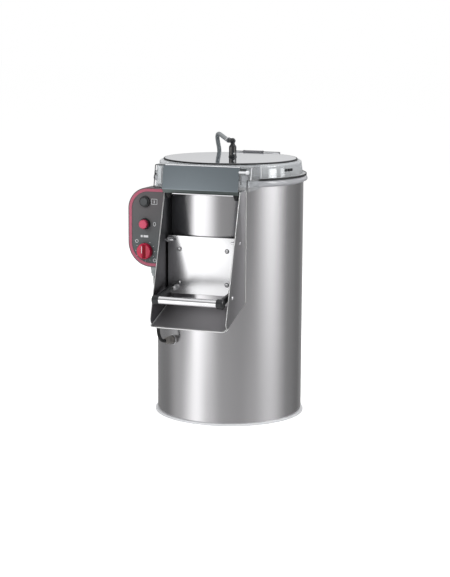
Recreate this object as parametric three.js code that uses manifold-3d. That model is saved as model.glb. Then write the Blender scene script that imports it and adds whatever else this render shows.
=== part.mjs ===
// Commercial potato peeler: a round steel casing on a base plate, a peeling chamber with a rotating
// abrasive plate, a belt drive below it, a clear collar with a hinged lid, and a discharge chute with
// a door and a bail handle at the front. Lengths are in millimetres. +Z is up, the front faces -Y,
// and the Z axis is the axis of the casing, with z = 0 where the base plate stands.

import * as THREE from 'three';
import { mergeVertices } from 'three/addons/utils/BufferGeometryUtils.js';
import Module from 'manifold-3d';

const wasm = await Module();
wasm.setup();

// Clearances and facet counts
const seatGap = 0.3; // air between pieces that seat on each other
const runGap = 0.4; // air round a pin or a stem that turns or slides
const overrun = 5; // how far a cutting body runs past what it cuts
const ringSteps = 40; // facets round the casing and all that is concentric with it
const drumSteps = 16; // facets round pulleys, motor and pipes
const pinSteps = 10; // facets round pins, screws and small fittings
const arcSteps = 3; // facets on a rounded corner

// Base, casing and deck
const casingRadius = 200;
const casingWall = 1.2;
const baseThickness = 6;
const baseOverhang = 6; // how far the base plate stands out beyond the casing
const baseSpigotHeight = 10;
const baseSpigotWall = 4;
const machineHeight = 293.7; // from the casing's lower edge to the top of the deck
const chamberHeight = 341.7; // from the top of the deck to the casing's upper edge
const deckThickness = 4;
const deckHole = 34; // radius of the deck's hole round the shaft

const casingInner = casingRadius - casingWall;
const casingBase = baseThickness + seatGap;
const deckTop = casingBase + machineHeight;
const deckBottom = deckTop - deckThickness;
const casingTop = deckTop + chamberHeight;
// A faceted body stays clear of the casing's facets outside this radius
const casingClear = (casingRadius + seatGap) / Math.cos(Math.PI / ringSteps);

// Chamber pan and abrasive liner
const annulusWidth = 12.8; // space between the liner and the casing
const linerWall = 4;
const linerRise = 13; // how far the liner stands above the casing's edge
const panSheet = 3;
const panWallHeight = 46;
const panHubRadius = 30;
const panHubHeight = 25;

const linerOuter = casingInner - annulusWidth;
const chamberRadius = linerOuter - linerWall;
const panInner = linerOuter + seatGap;
const panBottom = deckTop + seatGap;
const panFloorTop = panBottom + panSheet;
const linerBottom = panFloorTop + seatGap;
const linerTop = casingTop + linerRise;

// Abrasive plate, its nut and the shaft
const plateLift = 38; // from the deck to the plate's underside
const plateThickness = 12;
const plateRunning = 4; // air between plate and liner
const waveHeight = 8;
const waveHalfWidth = 34;
const waveCount = 2;
const waveInset = 3; // the waves end this far inside the plate's edge
const waveShoulderShares = 0.7; // height of a wave half way to its crest, as a share of the whole
const shaftRadius = 12;
const spindleRadius = 7.7; // the shaft's upper end, which the plate and the nut sit on
const nutRadius = 13;
const nutHeight = 6.5;
const nutDome = 6;
const nutDomeRadius = 6;

const plateBottom = deckTop + plateLift;
const plateTop = plateBottom + plateThickness;
const plateRadius = chamberRadius - plateRunning;
const spindleHole = spindleRadius + seatGap;
const nutBottom = plateTop + seatGap;
const nutTop = nutBottom + nutHeight;

// Bearing housing, bearings and seal
const bearingRadius = 26;
const bearingWidth = 16;
const housingWall = 10;
const housingLength = 110;
const housingFlange = 60;
const housingFlangeHeight = 6;
const housingShoulder = 4; // how far the bore steps in between the bearings
const housingEnd = 4; // bore left open below the lower bearing
const sealHeight = 10;
const sealDrop = 6; // the seal lies this far below the rim of the pan's hub

const housingTop = deckBottom - seatGap;
const housingBottom = housingTop - housingLength;
const bearingSeat = bearingRadius + seatGap;
const housingRadius = bearingSeat + housingWall;

// Belt drive and motor
const motorFlangeStep = 6; // how far the motor's flange stands out beyond its body
const motorFlangeHeight = 11;
const motorHeight = 165;
const motorBellHeight = 14;
const motorBellStep = 16; // how much smaller the bell's end is than the motor's body
const motorBearing = THREE.MathUtils.degToRad(225); // direction of the motor, seen from above
const motorWallGap = 12.3; // air between the motor's flange and the casing
const motorHousingGap = 2.5; // air between the motor's flange and the bearing housing's
const motorShaftRadius = 7;
const driveRatio = 3; // turns of the motor for one turn of the plate
const bigPulleyShares = 0.61; // groove radius of the big pulley as a share of the shaft distance
const pulleyRim = 8; // how far the pulleys' flanges stand above the groove
const pulleyCheek = 3.6;
const pulleyHeight = 24;
const pulleyLift = 82; // from the casing's lower edge to the pulleys' underside
const shaftTail = 4; // how far the shafts reach below the pulleys
const beltThickness = 5.6;
const beltSideGap = 0.6;
const beltArcSteps = 22;

// The motor fills the room that the bearing housing leaves inside the casing
const motorFlange = (casingInner - motorWallGap - motorHousingGap - housingFlange) / 2;
const motorRadius = motorFlange - motorFlangeStep;
const motorBellRadius = motorRadius - motorBellStep;
const shaftDistance = casingInner - motorFlange - motorWallGap;
const motorX = shaftDistance * Math.cos(motorBearing);
const motorY = shaftDistance * Math.sin(motorBearing);
const motorTop = deckBottom - seatGap;
const motorBottom = motorTop - motorHeight;
const pulleyBottom = casingBase + pulleyLift;
const pulleyTop = pulleyBottom + pulleyHeight;
const shaftBottom = pulleyBottom - shaftTail;
const bigGroove = shaftDistance * bigPulleyShares;
const smallGroove = bigGroove / driveRatio;

// Drain
const drainRadius = 24;
const drainWall = 2;
const drainReach = 89; // how far the outlet stands out behind the casing
const drainDrop = 51; // from the deck's underside to the outlet's axis
const drainElbow = 38; // from the drain hole's axis to the elbow's outlet end
const drainShares = 0.75; // place of the drain hole as a share of the liner's radius

const drainY = linerOuter * drainShares;
const drainZ = deckBottom - drainDrop;
const drainBore = drainRadius - drainWall;
const drainHole = drainRadius + runGap;

// Rim ring and its gasket
const rimSkirt = 16; // how far the ring reaches down inside the casing
const rimHeight = 17.3; // from the casing's edge to the ring's top
const rimLowerBead = 1.5; // how far the ring's lower edge stands outside the casing
const rimOverhang = 11; // how far the widest part stands outside the casing
const rimTopOverhang = 8;
const rimBeadHeight = 5.5;
const rimBeadTop = 9.5;
const rimGasketThickness = 1.6;
const rimGasketWidth = 14;
const rimGasketInset = 5; // the gasket's outer edge, in from the ring's top edge

const rimInner = linerOuter + seatGap;
const rimRadius = casingRadius + rimOverhang;
const rimTop = casingTop + rimHeight;
const rimTopRadius = casingRadius + rimTopOverhang;
const rimGasketOuter = rimTopRadius - rimGasketInset;
const rimGasketBottom = rimTop + seatGap;
const collarBottom = rimGasketBottom + rimGasketThickness + seatGap;

// Clear collar
const collarWall = 3;
const collarFlange = 3; // thickness of the foot flange
const collarHeight = 39;
const collarFlangeInset = 1; // the foot flange's edge, in from the ring's top edge
const collarFootInset = 1.5; // foot of the wall, in from the casing's radius
const collarShoulderInset = 4;
const collarShoulderDrop = 12;
const collarEdgeDrop = 5;
const collarEdgeInset = 7;
const crownWidth = 4; // the collar's upper edge, outside the lid's recess
const shelfDrop = 1.5; // from the collar's top to the shelf that carries the lid
const shelfThickness = 3;
const shelfLedge = 12; // how far the shelf reaches in under the lid's edge
const lidRunning = 3.5; // air between the lid's edge and the collar

const collarTop = collarBottom + collarHeight;
const collarFootRadius = rimTopRadius - collarFlangeInset;
const collarFoot = casingRadius - collarFootInset;
const collarShoulder = collarFoot - collarShoulderInset;
const collarCrown = collarShoulder - collarEdgeInset;
const lidRecess = collarCrown - crownWidth;
const lidRadius = lidRecess - lidRunning;
const feedMouth = lidRadius - shelfLedge;
const shelfTop = collarTop - shelfDrop;

// Discharge window and its frame
const windowLift = 14; // from the plate's top to the window's lower edge
const windowHalfWidth = 82;
const windowHeight = 120;
const frameWall = 3;
const frameBorder = 16;
const frameFoot = 7;
const frameHead = 12;
const frameProud = 1; // the frame's face stands this far in front of the casing

const windowBottom = plateTop + windowLift;
const windowTop = windowBottom + windowHeight;
const frameHalfWidth = windowHalfWidth + frameBorder;
const frameFront = -(casingRadius + frameProud);
const ductHalfWidth = windowHalfWidth + frameWall;

// Chute and hood
const cheekClearance = 6; // between the frame and the chute's cheeks
const cheekSheet = 2;
const cheekTopDrop = 7.7; // from the casing's upper edge to the cheeks' upper edge
const cheekTopReach = 18; // reaches are measured forward from the casing
const cheekKneeReach = 28;
const cheekKneeDrop = 34;
const lipReach = 125;
const lipDrop = 83; // from the window's lower edge to the chute's lip
const lipCorner = 9;
const floorDrop = 30; // from the window's lower edge to the floor's rear edge
const floorSheet = 2;
const hoodSheet = 1.5;
const hoodLowReach = 36;
const hoodHighReach = 25;
const hoodDrop = 5.2; // from the casing's upper edge to the hood's fold
const hoodTopDrop = 2.2; // from the collar's top to the hood's upper edge
const hoodReturn = 8;
const hoodReturnDrop = 10.5;

const chuteHalfWidth = frameHalfWidth + cheekClearance;
const chuteOuter = chuteHalfWidth + cheekSheet;
const cheekTop = casingTop - cheekTopDrop;
const cheekRear = -(Math.sqrt(casingRadius ** 2 - chuteHalfWidth ** 2) + seatGap);
const cheekKnee = cheekTop - cheekKneeDrop;
const lipY = -(casingRadius + lipReach);
const lipZ = windowBottom - lipDrop;
const floorRear = windowBottom - floorDrop;
const hoodLowY = -(casingRadius + hoodLowReach);
const hoodHighY = -(casingRadius + hoodHighReach);
const hoodBottom = casingTop - hoodDrop;
const hoodTop = collarTop - hoodTopDrop;

// Bay of the collar, behind the hood
const bayOverhang = 29; // beyond the chute's cheeks on each side
const bayFloorDrop = 3.7; // from the casing's upper edge to the bay's underside
const bayRoofStep = 1.5; // what the lid's recess leaves of the bay's roof

const bayHalfWidth = chuteOuter + bayOverhang;
const bayBottom = casingTop - bayFloorDrop;

// Rubber bumpers under the hood
const bumperRadius = 8.5;
const bumperTipRadius = 5;
const bumperHeight = 21;
const bumperDrop = 1; // below the cheeks' upper edge
const bumperReach = 16;

// Door, its pins, gasket and screws
const doorSheet = 2;
const doorGap = 4; // between the door's edge and the cheeks
const doorFoot = 8; // how far the door reaches below the window
const hingeRise = 16; // from the window's upper edge to the door's axis
const hingeReach = 18;
const doorHead = 11; // how far the door reaches above its axis
const gasketThickness = 4.4;
const gasketBorder = 11;
const gasketFoot = 5;
const gasketHead = 10;
const backingSheet = 2.2;
const backingGap = 4;
const earRadius = 8;
const earSheet = 2;
const earCornerShares = 0.9; // corner radius of an ear or a lug as a share of its own radius
const doorPinRadius = 4;
const doorPinHead = 7;
const doorPinHeadLength = 3.2;
const doorPinInnerHead = 6;
const doorPinInnerLength = 7;
const doorPinReach = 21; // how far the pins stand in from the cheeks
const screwRadius = 2.5;
const screwHead = 4.6;
const screwHeadHeight = 2.2;
const screwSideInset = 11; // from the backing's side edge
const screwTopInset = 4;
const screwBottomInset = 18;

const hingeY = -(casingRadius + hingeReach);
const hingeZ = windowTop + hingeRise;
const gasketBack = frameFront - seatGap;
const doorBack = gasketBack - gasketThickness - seatGap;
const doorFront = doorBack - doorSheet;
const doorHalfWidth = chuteHalfWidth - doorGap;
const doorBottom = windowBottom - doorFoot;
const doorTop = hingeZ + doorHead;
const backingHalfWidth = windowHalfWidth - backingGap;
const backingBottom = windowBottom + backingGap;
const backingTop = windowTop - backingGap;
const screwX = backingHalfWidth - screwSideInset;
const screwZs = [backingBottom + screwBottomInset, backingTop - screwTopInset];

// Bail handle
const bailPivotReach = 8; // in front of the door's face
const bailPivotRise = 7; // above the window's lower edge
const bailReach = 100; // from the pivot forward to the grip
const bailDrop = 16; // from the pivot down to the grip
const lugInset = 22; // from the door's side edge to the lug's inner face
const lugSheet = 3;
const lugRadius = 6.5;
const armInset = 3.5; // from the lug to the arm
const armThickness = 10;
const armHalfWidth = 6.5;
const gripRadius = 11;
const gripWall = 1.5;
const capRadius = 13;
const capLength = 19;
const capSideGap = 5; // from the cap's end to the cheek
const capFloor = 7; // closed end of the cap
const pivotRadius = 3;
const pivotHead = 5;
const pivotHeadLength = 3;
const pivotEnd = 1.5; // the pivot screw ends this far inside the arm

const bailY = doorFront - bailPivotReach;
const bailZ = windowBottom + bailPivotRise;
const gripY = bailY - bailReach;
const gripZ = bailZ - bailDrop;
const lugInner = doorHalfWidth - lugInset;
const lugOuter = lugInner + lugSheet;
const armInner = lugOuter + armInset;
const armOuter = armInner + armThickness;
const capOuter = chuteHalfWidth - capSideGap;
const capInner = capOuter - capLength;
const gripHalfLength = capOuter - capFloor - seatGap;

// Control box and what is on it
const boxSideGap = 4; // between the box and the left cheek
const panelWidth = 117;
const panelHeight = 215;
const panelTopDrop = 9.7; // from the casing's upper edge to the panel's top
const panelSetback = 20; // the panel's face lies this far behind the casing's front
const panelSheet = 2;
const panelUpperCorner = 58;
const panelLowerCorner = 66;
const panelInnerCorner = 4;
const boxDepth = 60;
const boxWall = 2.5;
const trimInset = 3;
const trimWidth = 7.5;
const trimThickness = 0.8;
const controlInset = 49; // from the panel's left edge to the buttons' axes
const startDrop = 38; // below the panel's top
const timerRise = 43; // above the panel's bottom
const stopShares = 0.448; // place of the stop button on the way from the start button to the timer
const bezelRadius = 15.5;
const bezelDepth = 5.4;
const buttonRunning = 0.5;
const startRadius = 11;
const startProud = 4;
const stopRadius = 12.5;
const stopProud = 11.5;
const bezelFloor = 1.5;
const neckRadius = 9; // of a switch, where it passes through the panel
const buttonLift = 5.6; // from the panel's face to the cap's back at rest
const stemRadius = 4;
const capFaceShares = 0.85; // radius of a button's flat face as a share of the button's
const capRoundShares = 0.3; // depth of the round below it as a share of how far the button stands out
const stemReach = 9; // behind the panel
const contactSize = 28;
const contactDepth = 32;
const contactBore = 14;
const knobRadius = 22.5;
const knobDepth = 10;
const knobGap = 1;
const knobFaceShares = 0.9; // radius of the knob's face as a share of the knob's
const knobEdgeShares = 0.3; // depth of its sloping edge as a share of the knob's depth
const knobGripDepth = 8;
const knobGripHalfWidth = 4;
const knobGripShares = 0.9; // length of the grip as a share of the knob's radius
const timerSize = 40;
const timerDepth = 34;

const panelFront = -(casingRadius - panelSetback);
const panelBack = panelFront + panelSheet;
const boxFront = panelBack + seatGap;
const boxBack = panelFront + boxDepth;
const boxRight = -(chuteOuter + boxSideGap);
const boxLeft = boxRight - panelWidth;
const panelTop = casingTop - panelTopDrop;
const panelBottom = panelTop - panelHeight;
const controlX = boxLeft + controlInset;
const startZ = panelTop - startDrop;
const timerZ = panelBottom + timerRise;
const stopZ = startZ - (startZ - timerZ) * stopShares;
const contactFront = panelBack + seatGap;

// Cable glands, each a base nut, a ribbed sleeve and a tip
const glandNutRadius = 12.5;
const glandNutLength = 8;
const glandSleeveRadius = 10.4;
const glandSleeveLength = 11;
const glandRibHeight = 1;
const glandRibCount = 3;
const glandTipRadius = 8;
const glandTipLength = 6;
const boxGlandOffset = 23; // to the right of the controls' axes
const boxGlandSetback = 13; // behind the panel's face
const casingGlandTurn = THREE.MathUtils.degToRad(149.5); // turned from +Y about the vertical
const casingGlandRise = 214.7; // above the casing's lower edge
const mainsGlandTurn = THREE.MathUtils.degToRad(-24);
const mainsGlandRise = 54;

const boxGlandX = controlX + boxGlandOffset;
const boxGlandY = panelFront + boxGlandSetback;
const casingGlandZ = casingBase + casingGlandRise;
const glandLength = glandNutLength + glandSleeveLength + glandTipLength;

// Control cable, from the gland under the box to the gland on the casing. Its route is chosen by hand.
const cableRadius = 4.5;
const cableSides = 8;
const cableSteps = 26;
const cableEnd = 0.4; // air at each end
const cableRoute = [
    [-155, -167, 384],
    [-154.5, -167.6, 372],
    [-152, -171.5, 354],
    [-146.5, -180, 330],
    [-140, -190, 303],
    [-134.5, -197.8, 276],
    [-131.6, -201.9, 255],
    [-129.6, -203.6, 242],
    [-126.3, -204.8, 232.5],
    [-121.9, -203.9, 225],
    [-118.1, -200.5, 221.6],
];

// Lid, its gasket, hinge and water fitting
const lidSheet = 3;
const lidGasketThickness = 2;
const lidGasketWidth = 7;
const lidGasketInset = 3;
const lidHole = 5;
const knuckleRadius = 2.85;
const knuckleHalfLength = 30;
const hingeRodRadius = 1.5;
const hingeRodHalfLength = 80;
const lidHingeSetback = 9; // behind the lid's edge
const lidHingeRise = 1.9; // above the lid's top
const leafSheet = 1.4;
const leafLap = 6; // how far the leaf reaches over the lid
const postWidth = 4;
const postHead = 1.2; // above the rod's axis
const fittingSetback = 16; // behind the middle of the lid
const fittingFlange = 11.4;
const fittingFlangeHeight = 2.6;
const fittingRadius = 10.6;
const fittingHeight = 32;
const fittingShoulder = 6; // height of the slope from the body to the neck
const fittingNeck = 5;
const fittingNeckHeight = 9;
const fittingKnuckle = 7.8;
const spigotRadius = 5.4;
const spigotLength = 24;
const spigotTurn = THREE.MathUtils.degToRad(40); // turned from +Y towards the left
const nozzleRadius = 9;
const nozzleTip = 5;
const nozzleHeight = 6;
const nozzleBore = 2.5;

const lidGasketBottom = shelfTop + seatGap;
const lidBottom = lidGasketBottom + lidGasketThickness + seatGap;
const lidTop = lidBottom + lidSheet;
const lidHingeY = lidRadius + lidHingeSetback;
const lidHingeZ = lidTop + lidHingeRise;
const fittingBottom = lidTop + seatGap;
const fittingTop = fittingBottom + fittingFlangeHeight + fittingHeight;
const spigotZ = fittingTop + fittingNeckHeight;

// Water inlet valve on the rear of the casing, and the hose from it to the lid
const valveTurn = THREE.MathUtils.degToRad(28.5); // turned from +Y towards the left
const valveTopDrop = 42; // below the casing's upper edge
const valveHeight = 40;
const valveHalfWidth = 17;
const valveDepth = 33;
const valveReach = 19; // from the casing to the hose's axis
const valveStub = 6;
const valveStubRadius = 5.4;
const inletRadius = 13;
const inletLength = 20;
const coilRadius = 14;
const coilLength = 28;
const hoseRadius = 6;
const hoseSides = 8;
const hoseSteps = 30;
const clampRadius = 8.4;
const clampWidth = 8;
const clampOffset = 8; // from the spigot's end to the clamp's middle
const hoseRoute = [
    [-15.8, 34.85, 748.2],
    [-20.95, 40.95, 748.2],
    [-26, 47.3, 748.4],
    [-37, 65, 749.4],
    [-53, 92, 751.1],
    [-70.5, 123, 752.8],
    [-86.5, 151.5, 754.3],
    [-97, 168.5, 754.9],
    [-103.5, 177, 752.6],
    [-107, 182.3, 746],
    [-107.8, 186.2, 737],
    [-106.8, 189.2, 725],
    [-105.3, 191.6, 712],
    [-104.6, 192.4, 700],
    [-104.5, 192.5, 685],
    [-104.5, 192.5, 650],
    [-104.5, 192.5, 606.2],
];

const valveTop = casingTop - valveTopDrop;
const hoseAxis = casingRadius + valveReach;

// Colours and finishes
const finish = (color, roughness, metalness) =>
    new THREE.MeshStandardMaterial({ color, roughness, metalness, flatShading: true });
const brushedSteel = finish(0xb9b8bb, 0.35, 1);
const polishedSteel = finish(0xdcdcdf, 0.15, 1);
const greySteel = finish(0x7b7d80, 0.4, 0.9);
const hoodSteel = finish(0x7a8283, 0.35, 0.6);
const paleMoulding = finish(0xc9cbcf, 0.35, 0);
const clearMoulding = new THREE.MeshStandardMaterial({
    color: 0xd6dadd, roughness: 0.1, metalness: 0, transparent: true, opacity: 0.35, flatShading: true,
});
const blackRubber = finish(0x1a1b1c, 0.8, 0);
const blackMoulding = finish(0x1c1e20, 0.45, 0);
const greyMoulding = finish(0x5f5c5a, 0.5, 0);
const greyPaint = finish(0x4d5254, 0.45, 0);
const crimsonTrim = finish(0xc8455a, 0.4, 0);
const redMoulding = finish(0xc8102e, 0.35, 0);
const greyHose = finish(0x8a9192, 0.5, 0);
const castIron = finish(0x55585a, 0.6, 0.8);
const abrasive = finish(0x3a3a3c, 0.95, 0);
const motorPaint = finish(0x3d5a78, 0.5, 0.2);
const brass = finish(0xb08d4a, 0.35, 1);

// A geometry as a solid with shared corners and no collapsed triangles
function solidOf(geometry) {
    const bare = geometry.clone();
    bare.deleteAttribute('normal');
    bare.deleteAttribute('uv');
    const merged = mergeVertices(bare);
    const corners = merged.index.array;
    const kept = [];
    for (let i = 0; i < corners.length; i += 3) {
        const [a, b, c] = [corners[i], corners[i + 1], corners[i + 2]];
        if (a !== b && b !== c && c !== a) kept.push(a, b, c);
    }
    const mesh = new wasm.Mesh({
        numProp: 3,
        vertProperties: new Float32Array(merged.attributes.position.array),
        triVerts: new Uint32Array(kept),
    });
    return new wasm.Manifold(mesh);
}

function geometryOf(solid) {
    const mesh = solid.getMesh();
    const geometry = new THREE.BufferGeometry();
    geometry.setAttribute('position', new THREE.BufferAttribute(mesh.vertProperties, 3));
    geometry.setIndex(new THREE.BufferAttribute(mesh.triVerts, 1));
    return geometry;
}

const join = (...parts) => geometryOf(parts.map(solidOf).reduce((sum, part) => sum.add(part)));
const cut = (body, ...tools) =>
    geometryOf(tools.map(solidOf).reduce((rest, tool) => rest.subtract(tool), solidOf(body)));
const common = (first, second) => geometryOf(solidOf(first).intersect(solidOf(second)));

// A block from its lowest to its highest corner
function block(low, high) {
    const size = high.map((value, i) => value - low[i]);
    const middle = high.map((value, i) => (value + low[i]) / 2);
    return new THREE.BoxGeometry(...size).translate(...middle);
}

// A profile of [radius, height] points, turned round the Z axis
function turned(profile, steps, closed = false) {
    const points = profile.map(([radius, height]) => new THREE.Vector2(radius, height));
    if (closed) points.push(points[0].clone());
    return new THREE.LatheGeometry(points, steps).rotateX(Math.PI / 2);
}

const ring = (inner, outer, bottom, top, steps) =>
    turned([[inner, bottom], [outer, bottom], [outer, top], [inner, top]], steps, true);
const disc = (radius, bottom, top, steps) =>
    turned([[0, bottom], [radius, bottom], [radius, top], [0, top]], steps);

// Bodies turned round Z, laid along +X or +Y
const alongX = (geometry) => geometry.rotateY(Math.PI / 2);
const alongY = (geometry) => geometry.rotateX(-Math.PI / 2);

// The same piece on the machine's left, from the one on its right
function otherSide(piece) {
    const mirrored = geometryOf(solidOf(piece)).scale(-1, 1, 1);
    const corners = mirrored.index.array;
    for (let i = 0; i < corners.length; i += 3) {
        [corners[i], corners[i + 1]] = [corners[i + 1], corners[i]];
    }
    return mirrored;
}

function addBothSides(group, name, piece, material) {
    addPiece(group, `${name}_right`, piece, material);
    addPiece(group, `${name}_left`, otherSide(piece), material);
}

// A closed outline whose corners are rounded by the radius given with each point
function outline(points) {
    const corners = points.map(([x, y]) => new THREE.Vector2(x, y));
    const shape = new THREE.Shape();
    corners.forEach((corner, i) => {
        const before = corners[(i + corners.length - 1) % corners.length];
        const after = corners[(i + 1) % corners.length];
        const radius = points[i][2] ?? 0;
        const arrive = corner.clone().sub(before).normalize();
        const leave = after.clone().sub(corner).normalize();
        const turn = Math.acos(THREE.MathUtils.clamp(arrive.dot(leave), -1, 1));
        const back = radius * Math.tan(turn / 2);
        const start = corner.clone().addScaledVector(arrive, -back);
        const end = corner.clone().addScaledVector(leave, back);
        if (i === 0) shape.moveTo(start.x, start.y);
        else shape.lineTo(start.x, start.y);
        if (radius > 0) {
            const side = Math.sign(arrive.cross(leave));
            const inward = new THREE.Vector2(-arrive.y, arrive.x).multiplyScalar(radius * side);
            const centre = start.clone().add(inward);
            const from = Math.atan2(start.y - centre.y, start.x - centre.x);
            const to = Math.atan2(end.y - centre.y, end.x - centre.x);
            shape.absarc(centre.x, centre.y, radius, from, to, side < 0);
        }
    });
    shape.closePath();
    return shape;
}

const carried = (shape, depth) =>
    new THREE.ExtrudeGeometry(shape, { depth, bevelEnabled: false, curveSegments: arcSteps });

// A shape drawn in (Y, Z) and carried along X, or drawn in (X, Z) and carried backwards along Y
function alongWidth(shape, from, to) {
    const turn = new THREE.Matrix4().makeBasis(
        new THREE.Vector3(0, 1, 0), new THREE.Vector3(0, 0, 1), new THREE.Vector3(1, 0, 0));
    return carried(shape, to - from).applyMatrix4(turn).translate(from, 0, 0);
}

const alongDepth = (shape, front, back) =>
    carried(shape, back - front).rotateX(Math.PI / 2).translate(0, back, 0);
const alongHeight = (shape, bottom, top) => carried(shape, top - bottom).translate(0, 0, bottom);

// A round tube along a hand-chosen route
function tube(route, radius, sides, steps) {
    const points = route.map((point) => new THREE.Vector3(...point));
    const path = new THREE.CatmullRomCurve3(points, false, 'centripetal');
    const section = new THREE.Shape();
    for (let i = 0; i < sides; i += 1) {
        const angle = (2 * Math.PI * i) / sides;
        const [x, y] = [radius * Math.cos(angle), radius * Math.sin(angle)];
        if (i === 0) section.moveTo(x, y);
        else section.lineTo(x, y);
    }
    section.closePath();
    return new THREE.ExtrudeGeometry(section, { steps, extrudePath: path, bevelEnabled: false });
}

function addPiece(group, name, geometry, material) {
    const mesh = new THREE.Mesh(geometryOf(solidOf(geometry)), material);
    mesh.name = name;
    group.add(mesh);
    return mesh;
}

// Base plate, casing and deck, with the openings that their neighbours pass through
function makeCasing() {
    const group = new THREE.Group();
    const baseRadius = casingRadius + baseOverhang;
    const spigotRadius = casingInner - seatGap;
    const spigotTop = baseThickness + baseSpigotHeight;
    const base = turned([
        [0, 0],
        [baseRadius, 0],
        [baseRadius, baseThickness],
        [spigotRadius, baseThickness],
        [spigotRadius, spigotTop],
        [spigotRadius - baseSpigotWall, spigotTop],
        [spigotRadius - baseSpigotWall, baseThickness],
        [0, baseThickness],
    ], ringSteps);
    addPiece(group, 'base_plate', base, paleMoulding);

    const window = block(
        [-ductHalfWidth - runGap, -casingRadius - overrun, windowBottom - frameWall - runGap],
        [ductHalfWidth + runGap, 0, windowTop + frameWall + runGap],
    );
    const drainOutlet = alongY(disc(drainHole, drainY, casingRadius + overrun, drumSteps))
        .translate(0, 0, drainZ);
    const wall = ring(casingInner, casingRadius, casingBase, casingTop, ringSteps);
    addPiece(group, 'casing', cut(wall, window, drainOutlet), brushedSteel);

    const deck = ring(deckHole, casingInner - seatGap, deckBottom, deckTop, ringSteps);
    const drainPassage = disc(drainHole, deckBottom - overrun, deckTop + overrun, drumSteps)
        .translate(0, drainY, 0);
    addPiece(group, 'deck_plate', cut(deck, drainPassage), greySteel);
    return group;
}

// Pan and liner of the peeling chamber, and the frame that leads out of it
function makeChamber() {
    const group = new THREE.Group();
    const panWallTop = panBottom + panWallHeight;
    const panHubTop = panFloorTop + panHubHeight;
    const pan = turned([
        [panHubRadius, panBottom],
        [panInner + panSheet, panBottom],
        [panInner + panSheet, panWallTop],
        [panInner, panWallTop],
        [panInner, panFloorTop],
        [panHubRadius + panSheet, panFloorTop],
        [panHubRadius + panSheet, panHubTop],
        [panHubRadius, panHubTop],
    ], ringSteps, true);
    const drainOpening = disc(drainBore, panBottom - overrun, panFloorTop + overrun, drumSteps)
        .translate(0, drainY, 0);
    addPiece(group, 'chamber_pan', cut(pan, drainOpening), brushedSteel);

    const window = block(
        [-windowHalfWidth, -linerOuter - overrun, windowBottom],
        [windowHalfWidth, 0, windowTop],
    );
    const liner = ring(chamberRadius, linerOuter, linerBottom, linerTop, ringSteps);
    addPiece(group, 'abrasive_liner', cut(liner, window), abrasive);

    const saddle = cut(
        block(
            [-frameHalfWidth, frameFront, windowBottom - frameFoot],
            [frameHalfWidth, cheekRear, windowTop + frameHead],
        ),
        disc(casingClear, 0, casingTop, ringSteps),
    );
    const duct = cut(
        block(
            [-ductHalfWidth, frameFront, windowBottom - frameWall],
            [ductHalfWidth, -chamberRadius / 2, windowTop + frameWall],
        ),
        disc(linerOuter + seatGap, 0, casingTop, ringSteps),
    );
    const passage = block(
        [-windowHalfWidth, frameFront - overrun, windowBottom],
        [windowHalfWidth, 0, windowTop],
    );
    addPiece(group, 'discharge_frame', cut(join(saddle, duct), passage), greySteel);
    return group;
}

// Abrasive plate with its waves, the shaft that carries it and the nut on top
function makeRotor() {
    const group = new THREE.Group();
    let plate = ring(spindleHole, plateRadius, plateBottom, plateTop, ringSteps);
    const waveReach = plateRadius - waveInset;
    const shoulder = plateTop + waveHeight * waveShoulderShares;
    for (let i = 0; i < waveCount; i += 1) {
        const hump = outline([
            [-waveHalfWidth, plateTop - plateThickness / 2],
            [waveHalfWidth, plateTop - plateThickness / 2],
            [waveHalfWidth, plateTop],
            [waveHalfWidth / 2, shoulder],
            [0, plateTop + waveHeight],
            [-waveHalfWidth / 2, shoulder],
            [-waveHalfWidth, plateTop],
        ]);
        const arm = common(
            alongWidth(hump, nutRadius + nutHeight, plateRadius),
            disc(waveReach, plateBottom, plateTop + waveHeight + overrun, ringSteps),
        );
        plate = join(plate, arm.rotateZ((2 * Math.PI * i) / waveCount));
    }
    addPiece(group, 'abrasive_plate', plate, abrasive);

    const spindleTop = nutTop - seatGap;
    const shaft = turned([
        [0, shaftBottom],
        [shaftRadius, shaftBottom],
        [shaftRadius, plateBottom - seatGap],
        [spindleRadius, plateBottom - seatGap],
        [spindleRadius, spindleTop],
        [0, spindleTop],
    ], drumSteps);
    addPiece(group, 'drive_shaft', shaft, polishedSteel);

    const nut = turned([
        [spindleHole, nutBottom],
        [nutRadius, nutBottom],
        [nutRadius, nutTop],
        [nutDomeRadius, nutTop + nutDome],
        [0, nutTop + nutDome],
        [0, nutTop],
        [spindleHole, nutTop],
    ], drumSteps, true);
    addPiece(group, 'plate_nut', nut, polishedSteel);

    addPiece(group, 'plate_pulley', pulley(bigGroove, shaftRadius + seatGap), castIron);
    return group;
}

// A flat-belt pulley with a flange on each side of its groove
function pulley(groove, bore) {
    return turned([
        [bore, pulleyBottom],
        [groove + pulleyRim, pulleyBottom],
        [groove + pulleyRim, pulleyBottom + pulleyCheek],
        [groove, pulleyBottom + pulleyCheek],
        [groove, pulleyTop - pulleyCheek],
        [groove + pulleyRim, pulleyTop - pulleyCheek],
        [groove + pulleyRim, pulleyTop],
        [bore, pulleyTop],
    ], drumSteps, true);
}

// The belt's outline: an arc round each pulley and the two straight runs between them
function beltLine(offset) {
    const lean = Math.acos((bigGroove - smallGroove) / shaftDistance);
    const points = [];
    for (let i = 0; i <= beltArcSteps; i += 1) {
        const angle = motorBearing + lean + ((2 * Math.PI - 2 * lean) * i) / beltArcSteps;
        points.push([(bigGroove + offset) * Math.cos(angle), (bigGroove + offset) * Math.sin(angle)]);
    }
    for (let i = 0; i <= beltArcSteps; i += 1) {
        const angle = motorBearing - lean + (2 * lean * i) / beltArcSteps;
        points.push([
            motorX + (smallGroove + offset) * Math.cos(angle),
            motorY + (smallGroove + offset) * Math.sin(angle),
        ]);
    }
    return outline(points);
}

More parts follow.
